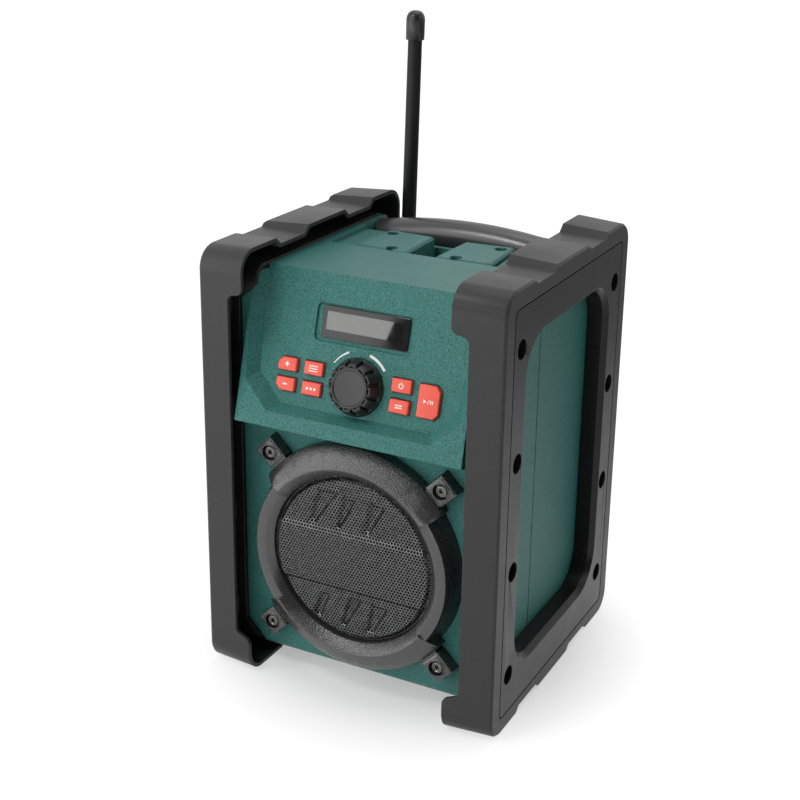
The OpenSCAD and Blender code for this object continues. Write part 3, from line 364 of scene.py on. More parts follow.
# %% [markdown]
# The speaker ring has two finishes. Its side sections are finely etched, and the raised sections
# at the top and bottom have a coarse, leathery grain. One material does both: it compares how far a
# point lies above or below the speaker's centre with how far it lies beside it, and blends the
# coarse grain in where the first is larger. Two materials on picked faces would need a clean edge
# between them, which the ring's mesh doesn't have.

# %% Ring plastic
SPEAKER_Z = 93.8
COARSE_BLEND = (-0.004, 0.008)  # metres that a point is more above or below than beside


def one_link_math(nodes, links, operation, source):
    step = nodes.new("ShaderNodeMath")
    step.operation = operation
    links.new(source, step.inputs[0])
    return step


def ring_plastic():
    paint, nodes, links, shader = new_paint("ring_black")
    fill(shader, {"Specular IOR Level": 0.9})
    place = nodes.new("ShaderNodeTexCoord")
    fine = noise_on(nodes, links, place, 0.7)
    coarse = noise_on(nodes, links, place, 0.9, detail=2, rough=0.6)
    axes = nodes.new("ShaderNodeSeparateXYZ")
    links.new(place.outputs["Object"], axes.inputs["Vector"])
    beside = one_link_math(nodes, links, "ABSOLUTE", axes.outputs["X"])
    above = one_link_math(nodes, links, "SUBTRACT", axes.outputs["Z"])
    fill(above, {1: SPEAKER_Z * MM})
    away = one_link_math(nodes, links, "ABSOLUTE", above.outputs["Value"])
    lean = math_node(nodes, links, "SUBTRACT", away.outputs["Value"], beside.outputs["Value"])
    where = map_to(nodes, links, lean, 0, 1, *COARSE_BLEND)
    grain = nodes.new("ShaderNodeMix")
    grain.data_type = "FLOAT"
    links.new(where, grain.inputs["Factor"])
    weak = map_to(nodes, links, fine.outputs["Fac"], 0, 0.12, 0, 1)
    links.new(weak, grain.inputs["A"])
    links.new(coarse.outputs["Fac"], grain.inputs["B"])
    tone = map_to(nodes, links, coarse.outputs["Fac"], 0, 1)
    colour = two_tone(nodes, links, tone, (0.018, 0.0175, 0.0175), (0.034, 0.0335, 0.0335))
    gloss = map_to(nodes, links, fine.outputs["Fac"], 0.2, 0.31)
    normal = rounded_bump(nodes, links, grain.outputs["Result"], depth=0.32, rounding=0.7)
    wire(links, shader, colour, gloss, normal)
    return paint


ring_black = ring_plastic()
print("ring plastic ready")

# %% [markdown]
# Plated steel is brushed: its noise is stretched along one axis, so the scratches run one way. A
# shader with a stretched highlight could do this, but it would show no single scratch. The circuit
# boards show copper tracks under green resist, laid out by a brick pattern. They sit inside, yet a
# reader who takes the housing off meets them.

# %% Metals and boards
SCRATCH_SCALE, SCRATCH_DEPTH, SCRATCH_GLOSS = 400, 0.01, 0.08


def metal(name, dark, light, rough, streak=(1, 1, 12), rounding=0.25):
    paint, nodes, links, shader = new_paint(name)
    fill(shader, {"Metallic": 1})
    place = nodes.new("ShaderNodeTexCoord")
    stretch = nodes.new("ShaderNodeMapping")
    fill(stretch, {"Scale": streak})
    links.new(place.outputs["Object"], stretch.inputs["Vector"])
    scratch = nodes.new("ShaderNodeTexNoise")
    fill(scratch, {"Scale": SCRATCH_SCALE, "Detail": 3})
    links.new(stretch.outputs["Vector"], scratch.inputs["Vector"])
    mark = scratch.outputs["Fac"]
    tone = map_to(nodes, links, mark, 0, 1)
    colour = two_tone(nodes, links, tone, dark, light)
    gloss = map_to(nodes, links, mark, rough - SCRATCH_GLOSS, rough + SCRATCH_GLOSS)
    normal = rounded_bump(nodes, links, mark, SCRATCH_DEPTH, rounding)
    wire(links, shader, colour, gloss, normal)
    return paint


def board_green():
    paint, nodes, links, shader = new_paint("board_green")
    place = nodes.new("ShaderNodeTexCoord")
    tracks = nodes.new("ShaderNodeTexBrick")
    fill(tracks, {"Scale": 120, "Mortar Size": 0.03, "Mortar": (0.03, 0.2, 0.06, 1),
                  "Color1": (0.01, 0.09, 0.03, 1), "Color2": (0.012, 0.11, 0.04, 1)})
    links.new(place.outputs["Object"], tracks.inputs["Vector"])
    haze = noise_on(nodes, links, place, 5)
    gloss = map_to(nodes, links, haze.outputs["Fac"], 0.25, 0.4)
    wire(links, shader, tracks.outputs["Color"], gloss)
    return paint


black_screw = metal("black_screw", (0.12, 0.118, 0.116), (0.2, 0.197, 0.194), 0.25)
steel = metal("plated_steel", (0.42, 0.42, 0.41), (0.56, 0.56, 0.55), 0.3)
aluminium = metal("cast_aluminium", (0.55, 0.55, 0.56), (0.66, 0.66, 0.67), 0.4, streak=(1, 1, 3))
grille_steel = metal("grille_enamel", grey(0.1), grey(0.19), 0.38, streak=(1, 1, 1), rounding=0)
board = board_green()
print("metals:", [paint.name for paint in (black_screw, steel, aluminium, grille_steel, board)])

# %% [markdown]
# The inner pieces and the small outer ones are plastics, papers and rubbers. Each could have a
# network of its own, but the helper for moulded plastic makes them all: the paper cone is rough
# with a coarse grain, and the printed jacket of the cells is glossier and hardly grained.

# %% Inner finishes
cone_paper = moulded("cone_paper", grey(0.012), grey(0.03),
                     rough=0.75, grain=1.2, depth=0.1, rounding=0)
silicone = moulded("grey_silicone", grey(0.09), grey(0.12),
                   rough=0.6, grain=0.8, depth=0.02, rounding=0.3)
inner_black = moulded("inner_black", grey(0.012), grey(0.018),
                      rough=0.5, grain=0.8, depth=0.03, rounding=0.4)
cell_jacket = moulded("cell_jacket", (0.25, 0.12, 0.02), (0.32, 0.17, 0.04),
                      rough=0.3, grain=3, depth=0.005, rounding=0.5)
grey_plastic = moulded("grey_plastic", (0.3, 0.3, 0.29), (0.36, 0.36, 0.35),
                       rough=0.45, grain=0.7, depth=0.02, rounding=0.3)
port_rubber = moulded("port_rubber", grey(0.012), grey(0.017),
                      rough=0.6, grain=0.5, depth=0.03, rounding=0.6)
gloss_black = moulded("gloss_black", grey(0.006), grey(0.008),
                      rough=0.12, grain=6, depth=0.01, rounding=0.5)
print("inner finishes ready")

# %% [markdown]
# The console has finishes of its own: the knob's grained plastic, its spun cap, the keys' silicone
# rubber, the white print, the black border of the display and the mirror-like panel behind it.
# The panel could lie under real glass. As a dark, smooth metal it looks the same and renders with
# less noise.

# %% Console finishes
CAP_CENTRE = (0, -92.3, 203.8)
RING_SCALE, RING_DEPTH, RING_GLOSS = 2500, 0.012, 0.12


def spun_metal(name, dark, light, rough, centre):
    """A disc turned on a lathe, with fine rings round its centre."""
    paint, nodes, links, shader = new_paint(name)
    fill(shader, {"Specular IOR Level": 0.5})
    place = nodes.new("ShaderNodeTexCoord")
    shift = nodes.new("ShaderNodeMapping")
    fill(shift, {"Location": tuple(-part * MM for part in centre)})
    links.new(place.outputs["Object"], shift.inputs["Vector"])
    away = nodes.new("ShaderNodeVectorMath")
    away.operation = "LENGTH"
    links.new(shift.outputs["Vector"], away.inputs[0])
    rings = nodes.new("ShaderNodeTexNoise")
    rings.noise_dimensions = "1D"
    fill(rings, {"Scale": RING_SCALE, "Detail": 2})
    links.new(away.outputs["Value"], rings.inputs["W"])
    line = rings.outputs["Fac"]
    tone = map_to(nodes, links, line, 0, 1)
    colour = two_tone(nodes, links, tone, dark, light)
    gloss = map_to(nodes, links, line, rough, rough + RING_GLOSS)
    normal = rounded_bump(nodes, links, line, RING_DEPTH, rounding=0.2)
    wire(links, shader, colour, gloss, normal)
    return paint


def window_mirror():
    paint, nodes, links, shader = new_paint("window_grey")
    fill(shader, {"Metallic": 1})
    place = nodes.new("ShaderNodeTexCoord")
    haze = noise_on(nodes, links, place, 9, detail=2)
    tone = map_to(nodes, links, haze.outputs["Fac"], 0, 1)
    colour = two_tone(nodes, links, tone, (0.115, 0.115, 0.112), (0.125, 0.125, 0.122))
    wire(links, shader, colour, map_to(nodes, links, haze.outputs["Fac"], 0.015, 0.03))
    return paint


knob_black = moulded("knob_black", grey(0.008), grey(0.013),
                     rough=0.42, grain=0.5, depth=0.03, rounding=0.3)
cap_grey = spun_metal("cap_grey", grey(0.019), (0.03, 0.03, 0.029), 0.28, CAP_CENTRE)
key_red = moulded("key_red", (0.74, 0.085, 0.05), (0.82, 0.1, 0.06),
                  rough=0.38, grain=0.6, depth=0.015, rounding=0, specular=0.45)
white_print = moulded("white_print", (0.72, 0.72, 0.7), (0.8, 0.8, 0.78),
                      rough=0.5, grain=0.5, depth=0.005, rounding=0)
lens_black = moulded("lens_black", grey(0.006), grey(0.008),
                     rough=0.07, grain=30, depth=0.0005, rounding=0)
window_grey = window_mirror()
tip_black = moulded("tip_black", grey(0.008), grey(0.012),
                    rough=0.3, grain=0.8, depth=0.01, rounding=0)
print("console finishes ready")

# %% [markdown]
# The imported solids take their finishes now, also most of those that a finer piece replaces later.
# Each could be painted in a line of its own. One table, from a finish to the solids that have it,
# is shorter and shows them all together.

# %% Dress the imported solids
dress = [
    (teal, "front_housing rear_housing left_tool_block right_tool_block battery_door"),
    (bumper_black, "left_bumper right_bumper"),
    (plate_black, "left_side_plate right_side_plate antenna_bracket"),
    (frame_black, "left_side_frame right_side_frame"),
    (ring_black, "speaker_ring"),
    (grip_rubber, "handle_grip"),
    (mast_rubber, "antenna_rod antenna_knuckle"),
    (gloss_black, "antenna_cap display_lens"),
    (black_screw, "ring_screws left_side_screws right_side_screws handle_screws"),
    (steel, "speaker_screws control_screws antenna_screws antenna_pin hinge_pins board_screws"
            " housing_screws handle_tube encoder_shaft encoder_body battery_contacts"
            " speaker_magnet"),
    (grille_steel, "speaker_grille speaker_basket"),
    (aluminium, "heat_sink"),
    (board, "control_board main_board"),
    (cone_paper, "speaker_cone"),
    (silicone, "keypad_membrane"),
    (inner_black, "housing_seal speaker_gasket speaker_surround battery_box jack_panel sockets"
                  " volume_knob"),
    (cell_jacket, "battery_cells"),
    (grey_plastic, "lcd_module key_switches knob_cap"),
    (port_rubber, "jack_cover"),
]
for paint, names in dress:
    for name in names.split():
        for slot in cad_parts[name].material_slots:
            slot.material = paint
print("dressed", sum(len(names.split()) for paint, names in dress), "solids")

# %% [markdown]
# The small forms are modelled next, with the same tools as by hand. By hand, edges and faces are
# picked with the mouse. Here a rule picks them by place or direction, which still finds the right
# ones when a size changes.

# %% Helpers: editing


def start(piece):
    pick_nothing()
    piece.select_set(True)
    bpy.context.view_layer.objects.active = piece


def edit(piece):
    start(piece)
    bpy.ops.object.mode_set(mode="EDIT")
    bpy.ops.mesh.select_mode(type="VERT")
    bpy.ops.mesh.select_all(action="SELECT")


def leave():
    bpy.ops.object.mode_set(mode="OBJECT")


def edit_edges(piece, rule):
    """Open a piece with only the edges picked whose two ends, in millimetres, meet the rule."""
    edit(piece)
    bpy.ops.mesh.select_mode(type="EDGE")
    bpy.ops.mesh.select_all(action="DESELECT")
    leave()
    spots = [vertex.co / MM for vertex in piece.data.vertices]
    for edge in piece.data.edges:
        edge.select = rule(spots[edge.vertices[0]], spots[edge.vertices[1]])
    bpy.ops.object.mode_set(mode="EDIT")


def edit_faces(piece, rule):
    """Open a piece with only the faces picked that meet the rule."""
    edit(piece)
    bpy.ops.mesh.select_mode(type="FACE")
    bpy.ops.mesh.select_all(action="DESELECT")
    leave()
    for face in piece.data.polygons:
        face.select = rule(face)
    bpy.ops.object.mode_set(mode="EDIT")


print("editing helpers ready")

# %% [markdown]
# A finished piece is welded, smoothed, painted and set in its place. A piece of the console is
# drawn lying flat, and the PANEL matrix then leans it back onto the console. SPEAKER does the same
# for the front. The last helper says which body a piece rides on and which solids it replaces.

# %% Helpers: finishing
PANEL_TURN = 74.8


def spot_at(x, y, z, turn=0, axis="X"):
    """A place in millimetres, with a turn in degrees round one axis."""
    return Matrix.Translation(Vector((x, y, z)) * MM) @ Matrix.Rotation(degrees(turn), 4, axis)


PANEL = spot_at(0, -83.7, 200, PANEL_TURN)
SPEAKER = spot_at(0, -79, SPEAKER_Z, 90)


def weld(piece, near=0.002):
    edit(piece)
    bpy.ops.mesh.remove_doubles(threshold=near * MM)
    bpy.ops.mesh.normals_make_consistent(inside=False)
    leave()


def smooth(piece, angle):
    start(piece)
    bpy.ops.object.shade_smooth_by_angle(angle=degrees(angle))


def settle(piece, place):
    piece.matrix_world = place
    start(piece)
    bpy.ops.object.transform_apply(location=True, rotation=True, scale=True)


def join(piece, *others):
    start(piece)
    for other in others:
        other.select_set(True)
    bpy.ops.object.join()


def paint_piece(piece, paint):
    piece.data.materials.clear()
    piece.data.materials.append(paint)


def put_on(piece, body, slot, *nodes):
    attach(piece, body)
    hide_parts(*nodes)
    print("%-18s rides %-12s %6d faces" % (piece.name, body, len(piece.data.polygons)))


print("the console leans back", round(90 - PANEL_TURN, 1), "degrees")

# %% [markdown]
# Two helpers make the first shapes. One lays a circle's points on a flat outline and extrudes it,
# as a plate is cut. The other lays them on half a section and spins it, as a lathe does. Both
# start as a circle, because its points are already joined in a ring.

# %% Helpers: plates and turned pieces


def outline_piece(name, points, low, high):
    """A plate with the given outline, from one height to another, in millimetres."""
    bpy.ops.mesh.primitive_circle_add(vertices=len(points), radius=MM, fill_type="NGON")
    piece = bpy.context.object
    piece.name = name
    for vertex, (x, y) in zip(piece.data.vertices, points):
        vertex.co = Vector((x, y, low)) * MM
    edit(piece)
    bpy.ops.mesh.extrude_region_move(TRANSFORM_OT_translate={"value": (0, 0, (high - low) * MM)})
    bpy.ops.mesh.select_all(action="SELECT")
    bpy.ops.mesh.normals_make_consistent(inside=False)
    leave()
    return piece


def lathe(name, profile, steps):
    """Spin a profile of (radius, height) points round Z. An edge on the axis is left out."""
    bpy.ops.mesh.primitive_circle_add(vertices=len(profile), radius=MM, fill_type="NOTHING")
    piece = bpy.context.object
    piece.name = name
    for vertex, (radius, height) in zip(piece.data.vertices, profile):
        vertex.co = Vector((radius, 0, height)) * MM
    edit_edges(piece, lambda a, b: a.x == 0 and b.x == 0)
    bpy.ops.mesh.delete(type="EDGE")
    bpy.ops.mesh.select_all(action="SELECT")
    bpy.ops.mesh.spin(steps=steps, angle=degrees(360), center=(0, 0, 0), axis=(0, 0, 1))
    leave()
    weld(piece)
    return piece


def arc(x, y, radius, begin, end, steps):
    """Points on a circle, from one angle to another."""
    turns = [degrees(begin + (end - begin) * step / steps) for step in range(steps + 1)]
    return [(x + radius * math.cos(turn), y + radius * math.sin(turn)) for turn in turns]


print("shape helpers ready")

# %% [markdown]
# The grille is pressed from perforated steel with hexagonal holes, and its enamel is grey. The
# sheet is not flat: a band across the middle stands proud, and above and below it three tapered
# dents are pressed in, which stiffen it. Round its edge the sheet is rolled down into the ring,
# which leaves a groove there. The groove lies in shade, and a black rim behind it adds painted
# shade.
# The forms could be pulled by hand with a soft selection. These functions give the height of the
# press at any point instead, so every slope is exact.

# %% The press
GRILLE_R, GRILLE_REST, BAND_RISE, DENT = 54.6, 9.3, 1.6, 2.2
ROLL, ROLL_FROM, ROLL_TO = 2.4, 51.2, 53.4
BAND_LOW, BAND_HIGH = (-21.8, -20), (15, 18.4)  # where the band's lower and upper slopes lie
DENT_SLOPE = 2
dents = [
    [(-23.7, 42.5), (-30.5, 20.3), (-25.5, 18.6), (-9.1, 42.8)],
    [(-6.4, 41.5), (-11.8, 19.3), (-8.4, 18.3), (2.8, 39.5)],
    [(11.6, 41.5), (7.2, 19.8), (11.9, 18.8), (23, 38.8)],
    [(-22.6, -26.5), (-28, -45), (-21.8, -46.5), (-15.2, -27.6)],
    [(-2.4, -25.6), (-8.4, -46.2), (-3.8, -47.6), (7.2, -26.4)],
    [(13.4, -26.2), (9.6, -47.2), (15.6, -46.4), (25.4, -28)],
]


def depth_inside(x, y, corners):
    """How far inside a convex outline, listed anticlockwise, a point lies."""
    least = math.inf
    for (ax, ay), (bx, by) in zip(corners, corners[1:] + corners[:1]):
        run, rise = bx - ax, by - ay
        least = min(least, (run * (y - ay) - rise * (x - ax)) / math.hypot(run, rise))
    return least


def ramp(value, low, high):
    return min(max((value - low) / (high - low), 0), 1)


def band_height(y):
    return BAND_RISE * min(ramp(y, *BAND_LOW), 1 - ramp(y, *BAND_HIGH))


def press_height(x, y):
    low = max(ramp(depth_inside(x, y, corners), 0, DENT_SLOPE) for corners in dents)
    roll = ramp(math.hypot(x, y), ROLL_FROM, ROLL_TO)
    return GRILLE_REST + band_height(y) - DENT * low - ROLL * roll


heights = press_height(0, 0), press_height(0, -50)
print("heights of the press: band %.1f mm, plain sheet %.1f mm" % heights)

# %% [markdown]
# The sheet has more than two thousand holes. Cutting them one by one out of a plate would be slow.
# One hexagonal cell is made instead and repeated with array modifiers, which keeps every hole
# alike. What lies beyond the rim is then deleted.

# %% The perforated sheet
PITCH, WIRE, SHEET = 2.1, 0.54, 0.7
COLUMNS, ROWS = 54, 32
CELL_GAP, EDGE_GAP = 0.02, 0.3  # how near points are welded, and the sheet's gap to the rim


def hex_sheet(name):
    """Hexagonal cells side by side, as wide as the grille."""
    corner = PITCH / math.sqrt(3)
    bpy.ops.mesh.primitive_circle_add(vertices=6, radius=corner * MM, fill_type="NGON")
    sheet = bpy.context.object
    sheet.name = name
    edit(sheet)
    bpy.ops.mesh.inset(thickness=WIRE / 2 * MM)
    bpy.ops.mesh.delete(type="FACE")
    bpy.ops.mesh.select_all(action="SELECT")
    step = (PITCH / 2 * MM, 1.5 * corner * MM, 0)
    bpy.ops.mesh.duplicate_move(TRANSFORM_OT_translate={"value": step})
    bpy.ops.mesh.select_all(action="SELECT")
    first = (-COLUMNS / 2 * PITCH * MM, -ROWS / 2 * 3 * corner * MM, 0)
    bpy.ops.transform.translate(value=first)
    leave()
    for count, shift in [(COLUMNS, (PITCH * MM, 0, 0)), (ROWS, (0, 3 * corner * MM, 0))]:
        repeat = sheet.modifiers.new("repeat", "ARRAY")
        repeat.use_relative_offset = False
        repeat.use_constant_offset = True
        repeat.count = count
        repeat.constant_offset_displace = shift
        start(sheet)
        bpy.ops.object.modifier_apply(modifier="repeat")
    weld(sheet, CELL_GAP)
    return sheet


def cut_round(sheet, radius):
    edit(sheet)
    bpy.ops.mesh.select_all(action="DESELECT")
    leave()
    for vertex in sheet.data.vertices:
        vertex.select = vertex.co.length > radius * MM
    bpy.ops.object.mode_set(mode="EDIT")
    bpy.ops.mesh.delete(type="VERT")
    bpy.ops.mesh.select_all(action="SELECT")
    bpy.ops.mesh.delete_loose()
    leave()


grille = hex_sheet("grille")
cut_round(grille, GRILLE_R - EDGE_GAP)
print("sheet:", len(grille.data.vertices), "points")

# %% [markdown]
# Each point of the flat sheet is now lifted to the height that the press gives it. The back could
# be drawn as a second sheet, but a Solidify modifier makes it together with the walls of the holes.
# A black rim stands behind the edge, and its upper part follows the band. Its black is painted
# shade: it darkens the gap between the ring's lip and the sheet, where shade falls.

# %% Speaker grille
RIM_STEPS, RIM_WIDTH, RIM_WALL, RIM_FOOT = 160, 1.5, 0.8, 1
for vertex in grille.data.vertices:
    vertex.co.z = press_height(vertex.co.x / MM, vertex.co.y / MM) * MM
thick = grille.modifiers.new("thick", "SOLIDIFY")
thick.thickness, thick.offset = SHEET * MM, -1
start(grille)
bpy.ops.object.modifier_apply(modifier="thick")
top, ledge, wall = GRILLE_REST - ROLL, GRILLE_R - RIM_WIDTH, GRILLE_R - RIM_WALL
rim = lathe("rim", [(GRILLE_R, 0), (GRILLE_R, top), (ledge, top), (ledge, top - SHEET),
                    (wall, top - SHEET), (wall, 0)], RIM_STEPS)
for vertex in rim.data.vertices:
    if vertex.co.z > RIM_FOOT * MM:
        vertex.co.z += band_height(vertex.co.y / MM) * MM
paint_piece(grille, grille_steel)
# painted shade: the rim is black to darken the gap between the ring and the sheet
paint_piece(rim, frame_black)
join(grille, rim)
settle(grille, SPEAKER)
put_on(grille, "radio", "grille_metal", "speaker_grille")

# %% [markdown]
# The volume knob is turned round a shaft. Its skirt is a plain disc, and above it twelve broad ribs
# narrow towards the face, with slots between them for the fingers. At the face the ribs end as
# teeth round a separate cap, which has a thin raised ring and a spun, slightly hollow middle. One
# rib could be made and turned round twelve times. The whole outline, extruded and narrowed step by
# step, gives one closed piece instead.

# %% Volume knob
KNOB_V, RIBS, RIB_OUTER, SLOT_INNER = 4.5, 12, 16.6, 14.8
RIB_HALF, SLOT_BEGIN, SLOT_END = 10, 11.5, 18.5  # degrees from a rib's middle
RIB_LOW, RIB_FOOT, SKIRT_TOP, ROUND_STEPS = 2.2, 2.9, 2.7, 96
SIDE_RISE, SIDE_SCALE, FACE_RISE, FACE_SCALE = 6.6, 0.866, 0.7, 0.955
TOOTH, WELL_DROP, WELL_SCALE = 0.9, -1.2, 0.99


def ribbed_ring(outer, inner):
    """The outline of a ring of ribs with slots between them."""
    points = []
    for rib in range(RIBS):
        middle = rib * 360 / RIBS
        points += arc(0, 0, outer, middle - RIB_HALF, middle + RIB_HALF, 5)
        points += arc(0, 0, inner, middle + SLOT_BEGIN, middle + SLOT_END, 2)
    return points


def scale_up(rise, scale):
    """Draw the picked top face up, or down, and narrow it."""
    bpy.ops.mesh.extrude_region_move(TRANSFORM_OT_translate={"value": (0, 0, rise * MM)})
    bpy.ops.transform.resize(value=(scale, scale, 1), center_override=(0, 0, 0))


on_knob = PANEL @ Matrix.Translation((0, KNOB_V * MM, 0))
knob = outline_piece("knob", ribbed_ring(RIB_OUTER, SLOT_INNER), RIB_LOW, RIB_FOOT)
edit_faces(knob, lambda face: face.normal.z > 0.9)
scale_up(SIDE_RISE, SIDE_SCALE)
scale_up(FACE_RISE, FACE_SCALE)
bpy.ops.mesh.inset(thickness=TOOTH * MM)
scale_up(WELL_DROP, WELL_SCALE)
leave()
skirt = lathe("skirt", [(0, 0.4), (17.1, 0.4), (17.5, 0.8), (16.9, 2.3), (16.4, SKIRT_TOP),
                        (0, SKIRT_TOP)], ROUND_STEPS)
join(knob, skirt)
paint_piece(knob, knob_black)
smooth(knob, angle=25)
settle(knob, on_knob)
put_on(knob, "knob", "black_plastic", "volume_knob")
cap = lathe("cap", [(0, 8.9), (11.9, 8.9), (11.9, 10.5), (11.6, 10.8), (10.9, 10.8), (10.1, 10.1),
                    (6, 9.95), (0, 9.9)], ROUND_STEPS)
paint_piece(cap, cap_grey)
smooth(cap, angle=30)
settle(cap, on_knob)
put_on(cap, "knob", "grey_plastic", "knob_cap")

# %% [markdown]
# Seven keys sit in the console. They are moulded in red silicone with soft, pillowed edges, and the
# outer ones have their corners cut to follow the console. A key could start as a cube, but then
# each corner would be worked alone. An outline holds round and cut corners alike, and the table
# gives each key its centre, its size and which corners are cut.

# %% Key outlines
KEY_LOW, KEY_TOP, KEY_W, KEY_H = -3, 2.5, 12.8, 8
CORNER_R, CORNER_CUT, CORNER_STEPS = 0.9, 3, 3
keys = {  # centre, width, height, and cut corners: top left, bottom left, bottom right, top right
    "plus": (-47.4, 10.6, KEY_W, KEY_H, (1, 0, 0, 0)),
    "minus": (-47.4, -1.6, KEY_W, KEY_H, (0, 1, 0, 0)),
    "info": (-29.4, 10.6, KEY_W, KEY_H, (0, 0, 0, 0)),
    "preset": (-29.4, -1.6, KEY_W, KEY_H, (0, 0, 0, 0)),
    "power": (29.4, 10.6, KEY_W, KEY_H, (0, 0, 0, 0)),
    "source": (29.4, -1.6, KEY_W, KEY_H, (0, 0, 0, 0)),
    "play": (47.8, 4.5, 13.7, 19.5, (0, 0, 1, 1)),
}


def key_outline(x, y, width, height, cuts):
    """A rectangle whose corners are cut where the table says so, and round elsewhere."""
    points = []
    corners = [(-1, 1, 90), (-1, -1, 180), (1, -1, 270), (1, 1, 0)]
    for (side, end, begin), cut in zip(corners, cuts):
        across, up = x + side * width / 2, y + end * height / 2
        if not cut:
            middle = across - side * CORNER_R, up - end * CORNER_R
            points += arc(*middle, CORNER_R, begin, begin + 90, CORNER_STEPS)
            continue
        first, last = (across - side * CORNER_CUT, up), (across, up - end * CORNER_CUT)
        points += [first, last] if side * end < 0 else [last, first]
    return points


print("keys:", list(keys))

# %% [markdown]
# Each key carries a white sign that is printed on it. An image could be laid on the key, but plain
# shapes stay sharp from near and need no file. They are drawn round the key's centre: a plus, a
# minus, lines, dots, the power sign, two arrows, and play and pause.

# %% Signs
SIGN_STEPS = 20


def box_sign(x, y, width, height):
    return [(x - width / 2, y - height / 2), (x + width / 2, y - height / 2),
            (x + width / 2, y + height / 2), (x - width / 2, y + height / 2)]


def slope_sign(x, y, width, height, lean):
    low, high = y - height / 2, y + height / 2
    return [(x - width - lean, low), (x + width - lean, low),
            (x + width + lean, high), (x - width + lean, high)]


def ring_sign(x, y, outer, inner, begin, end):
    return arc(x, y, outer, begin, end, SIGN_STEPS) + arc(x, y, inner, end, begin, SIGN_STEPS)


signs = {
    "plus": [box_sign(0, 0, 2.8, 0.9), box_sign(0, 0.95, 0.9, 1), box_sign(0, -0.95, 0.9, 1)],
    "minus": [box_sign(0, 0, 2.8, 0.9)],
    "info": [box_sign(0, 1.5, 6, 0.6), box_sign(0, 0, 6, 0.6), box_sign(0, -1.5, 6, 0.6)],
    "preset": [box_sign(-2.6, 0, 1.5, 1.5), box_sign(0, 0, 1.5, 1.5), box_sign(2.6, 0, 1.5, 1.5)],
    "power": [ring_sign(0, 0, 1.7, 1.15, 120, 420), box_sign(0, 1.3, 0.55, 1.9)],
    "source": [[(-2.4, 0.4), (1, 0.4), (1, 1), (-2.4, 1)], [(1, 0), (2.6, 0.7), (1, 1.5)],
               [(-1, -1), (2.4, -1), (2.4, -0.4), (-1, -0.4)], [(-1, 0), (-2.6, -0.7), (-1, -1.5)]],
    "play": [[(-3.1, -1.2), (-1.1, 0), (-3.1, 1.2)], slope_sign(0, 0, 0.2, 3, 0.5),
             box_sign(1.5, 0, 0.6, 2.2), box_sign(2.7, 0, 0.6, 2.2)],
}
print("signs:", sum(len(shapes) for shapes in signs.values()), "shapes")

# %% [markdown]
# A key is its outline, extruded and bevelled in four steps along the top edge. Its signs are plates
# that stand three hundredths of a millimetre proud of it. They could be pieces of their own, but
# joined to the key they always move with it.

# %% Keys
SIGN_DEEP, SIGN_PROUD, PILLOW = 0.05, 0.03, 0.85


def on_top(a, b):
    return a.z > KEY_TOP - 0.01 and b.z > KEY_TOP - 0.01


for name, (x, y, width, height, cuts) in keys.items():
    key = outline_piece(name + "_key", key_outline(x, y, width, height, cuts), KEY_LOW, KEY_TOP)
    edit_edges(key, on_top)
    bpy.ops.mesh.bevel(offset=PILLOW * MM, segments=4, affect="EDGES")
    leave()
    paint_piece(key, key_red)
    smooth(key, angle=40)
    for points in signs[name]:
        placed = [(x + across, y + up) for across, up in points]
        sign = outline_piece("sign", placed, KEY_TOP - SIGN_DEEP, KEY_TOP + SIGN_PROUD)
        paint_piece(sign, white_print)
        join(key, sign)
    settle(key, PANEL)
    put_on(key, name + "_key", "key_red", name + "_button")

# %% [markdown]
# The display is a window of tinted plastic, printed black on its back round the clear part. Behind
# it lies the reflective liquid crystal panel, so the clear part mirrors the softbox more strongly
# than the border does. It could be a clear plate over a box. Two opaque plates, the window standing
# a hair proud of the border, show the same and stay free of noise.

# %% Display
LENS_V, LENS_SIZE, LENS_CORNER = 39.7, (57.6, 19.4), 1.5
LENS_LOW, LENS_TOP, LENS_EDGE = -1.4, -0.25, 0.25
WINDOW_PLACE, WINDOW_SIZE, WINDOW_CORNER = (-0.7, 40.5), (50.6, 11), 0.2
WINDOW_LOW, WINDOW_TOP = -0.4, -0.235


def round_box(x, y, width, height, radius, steps=4):
    points = []
    for side, end, begin in [(1, 1, 0), (-1, 1, 90), (-1, -1, 180), (1, -1, 270)]:
        middle = x + side * (width / 2 - radius), y + end * (height / 2 - radius)
        points += arc(*middle, radius, begin, begin + 90, steps)
    return points


border = round_box(0, LENS_V, *LENS_SIZE, LENS_CORNER)
lens = outline_piece("display", border, LENS_LOW, LENS_TOP)
edit_edges(lens, lambda a, b: a.z > LENS_TOP - 0.05 and b.z > LENS_TOP - 0.05)
bpy.ops.mesh.bevel(offset=LENS_EDGE * MM, segments=2, affect="EDGES")
leave()
paint_piece(lens, lens_black)
clear_part = round_box(*WINDOW_PLACE, *WINDOW_SIZE, WINDOW_CORNER, steps=1)
window = outline_piece("window", clear_part, WINDOW_LOW, WINDOW_TOP)
paint_piece(window, window_grey)
join(lens, window)
settle(lens, PANEL)
put_on(lens, "radio", "gloss_black", "display_lens")

# %% [markdown]
# Two wedges are printed white above the knob: a thin one for less and a broad one for more. Each
# lies on an arc round the knob's centre, and the thin one narrows towards its lower end. Like the
# signs they could be an image, and like them they are thin plates.

# %% Volume marks
MARK_STEPS, MARK_LOW, MARK_TOP = 14, -0.3, 0.04
THIN_TURN, WIDE_TURN = (113, 146), (37, 74)
THIN_OUTER, THIN_END, THIN_INNER, THIN_TAPER = 21.65, 21.6, 20.6, 0.55
WIDE_OUTER, WIDE_INNER = 21.3, 19.7


def mark_arc(radius, begin, end):
    return arc(0, KNOB_V, radius, begin, end, MARK_STEPS)


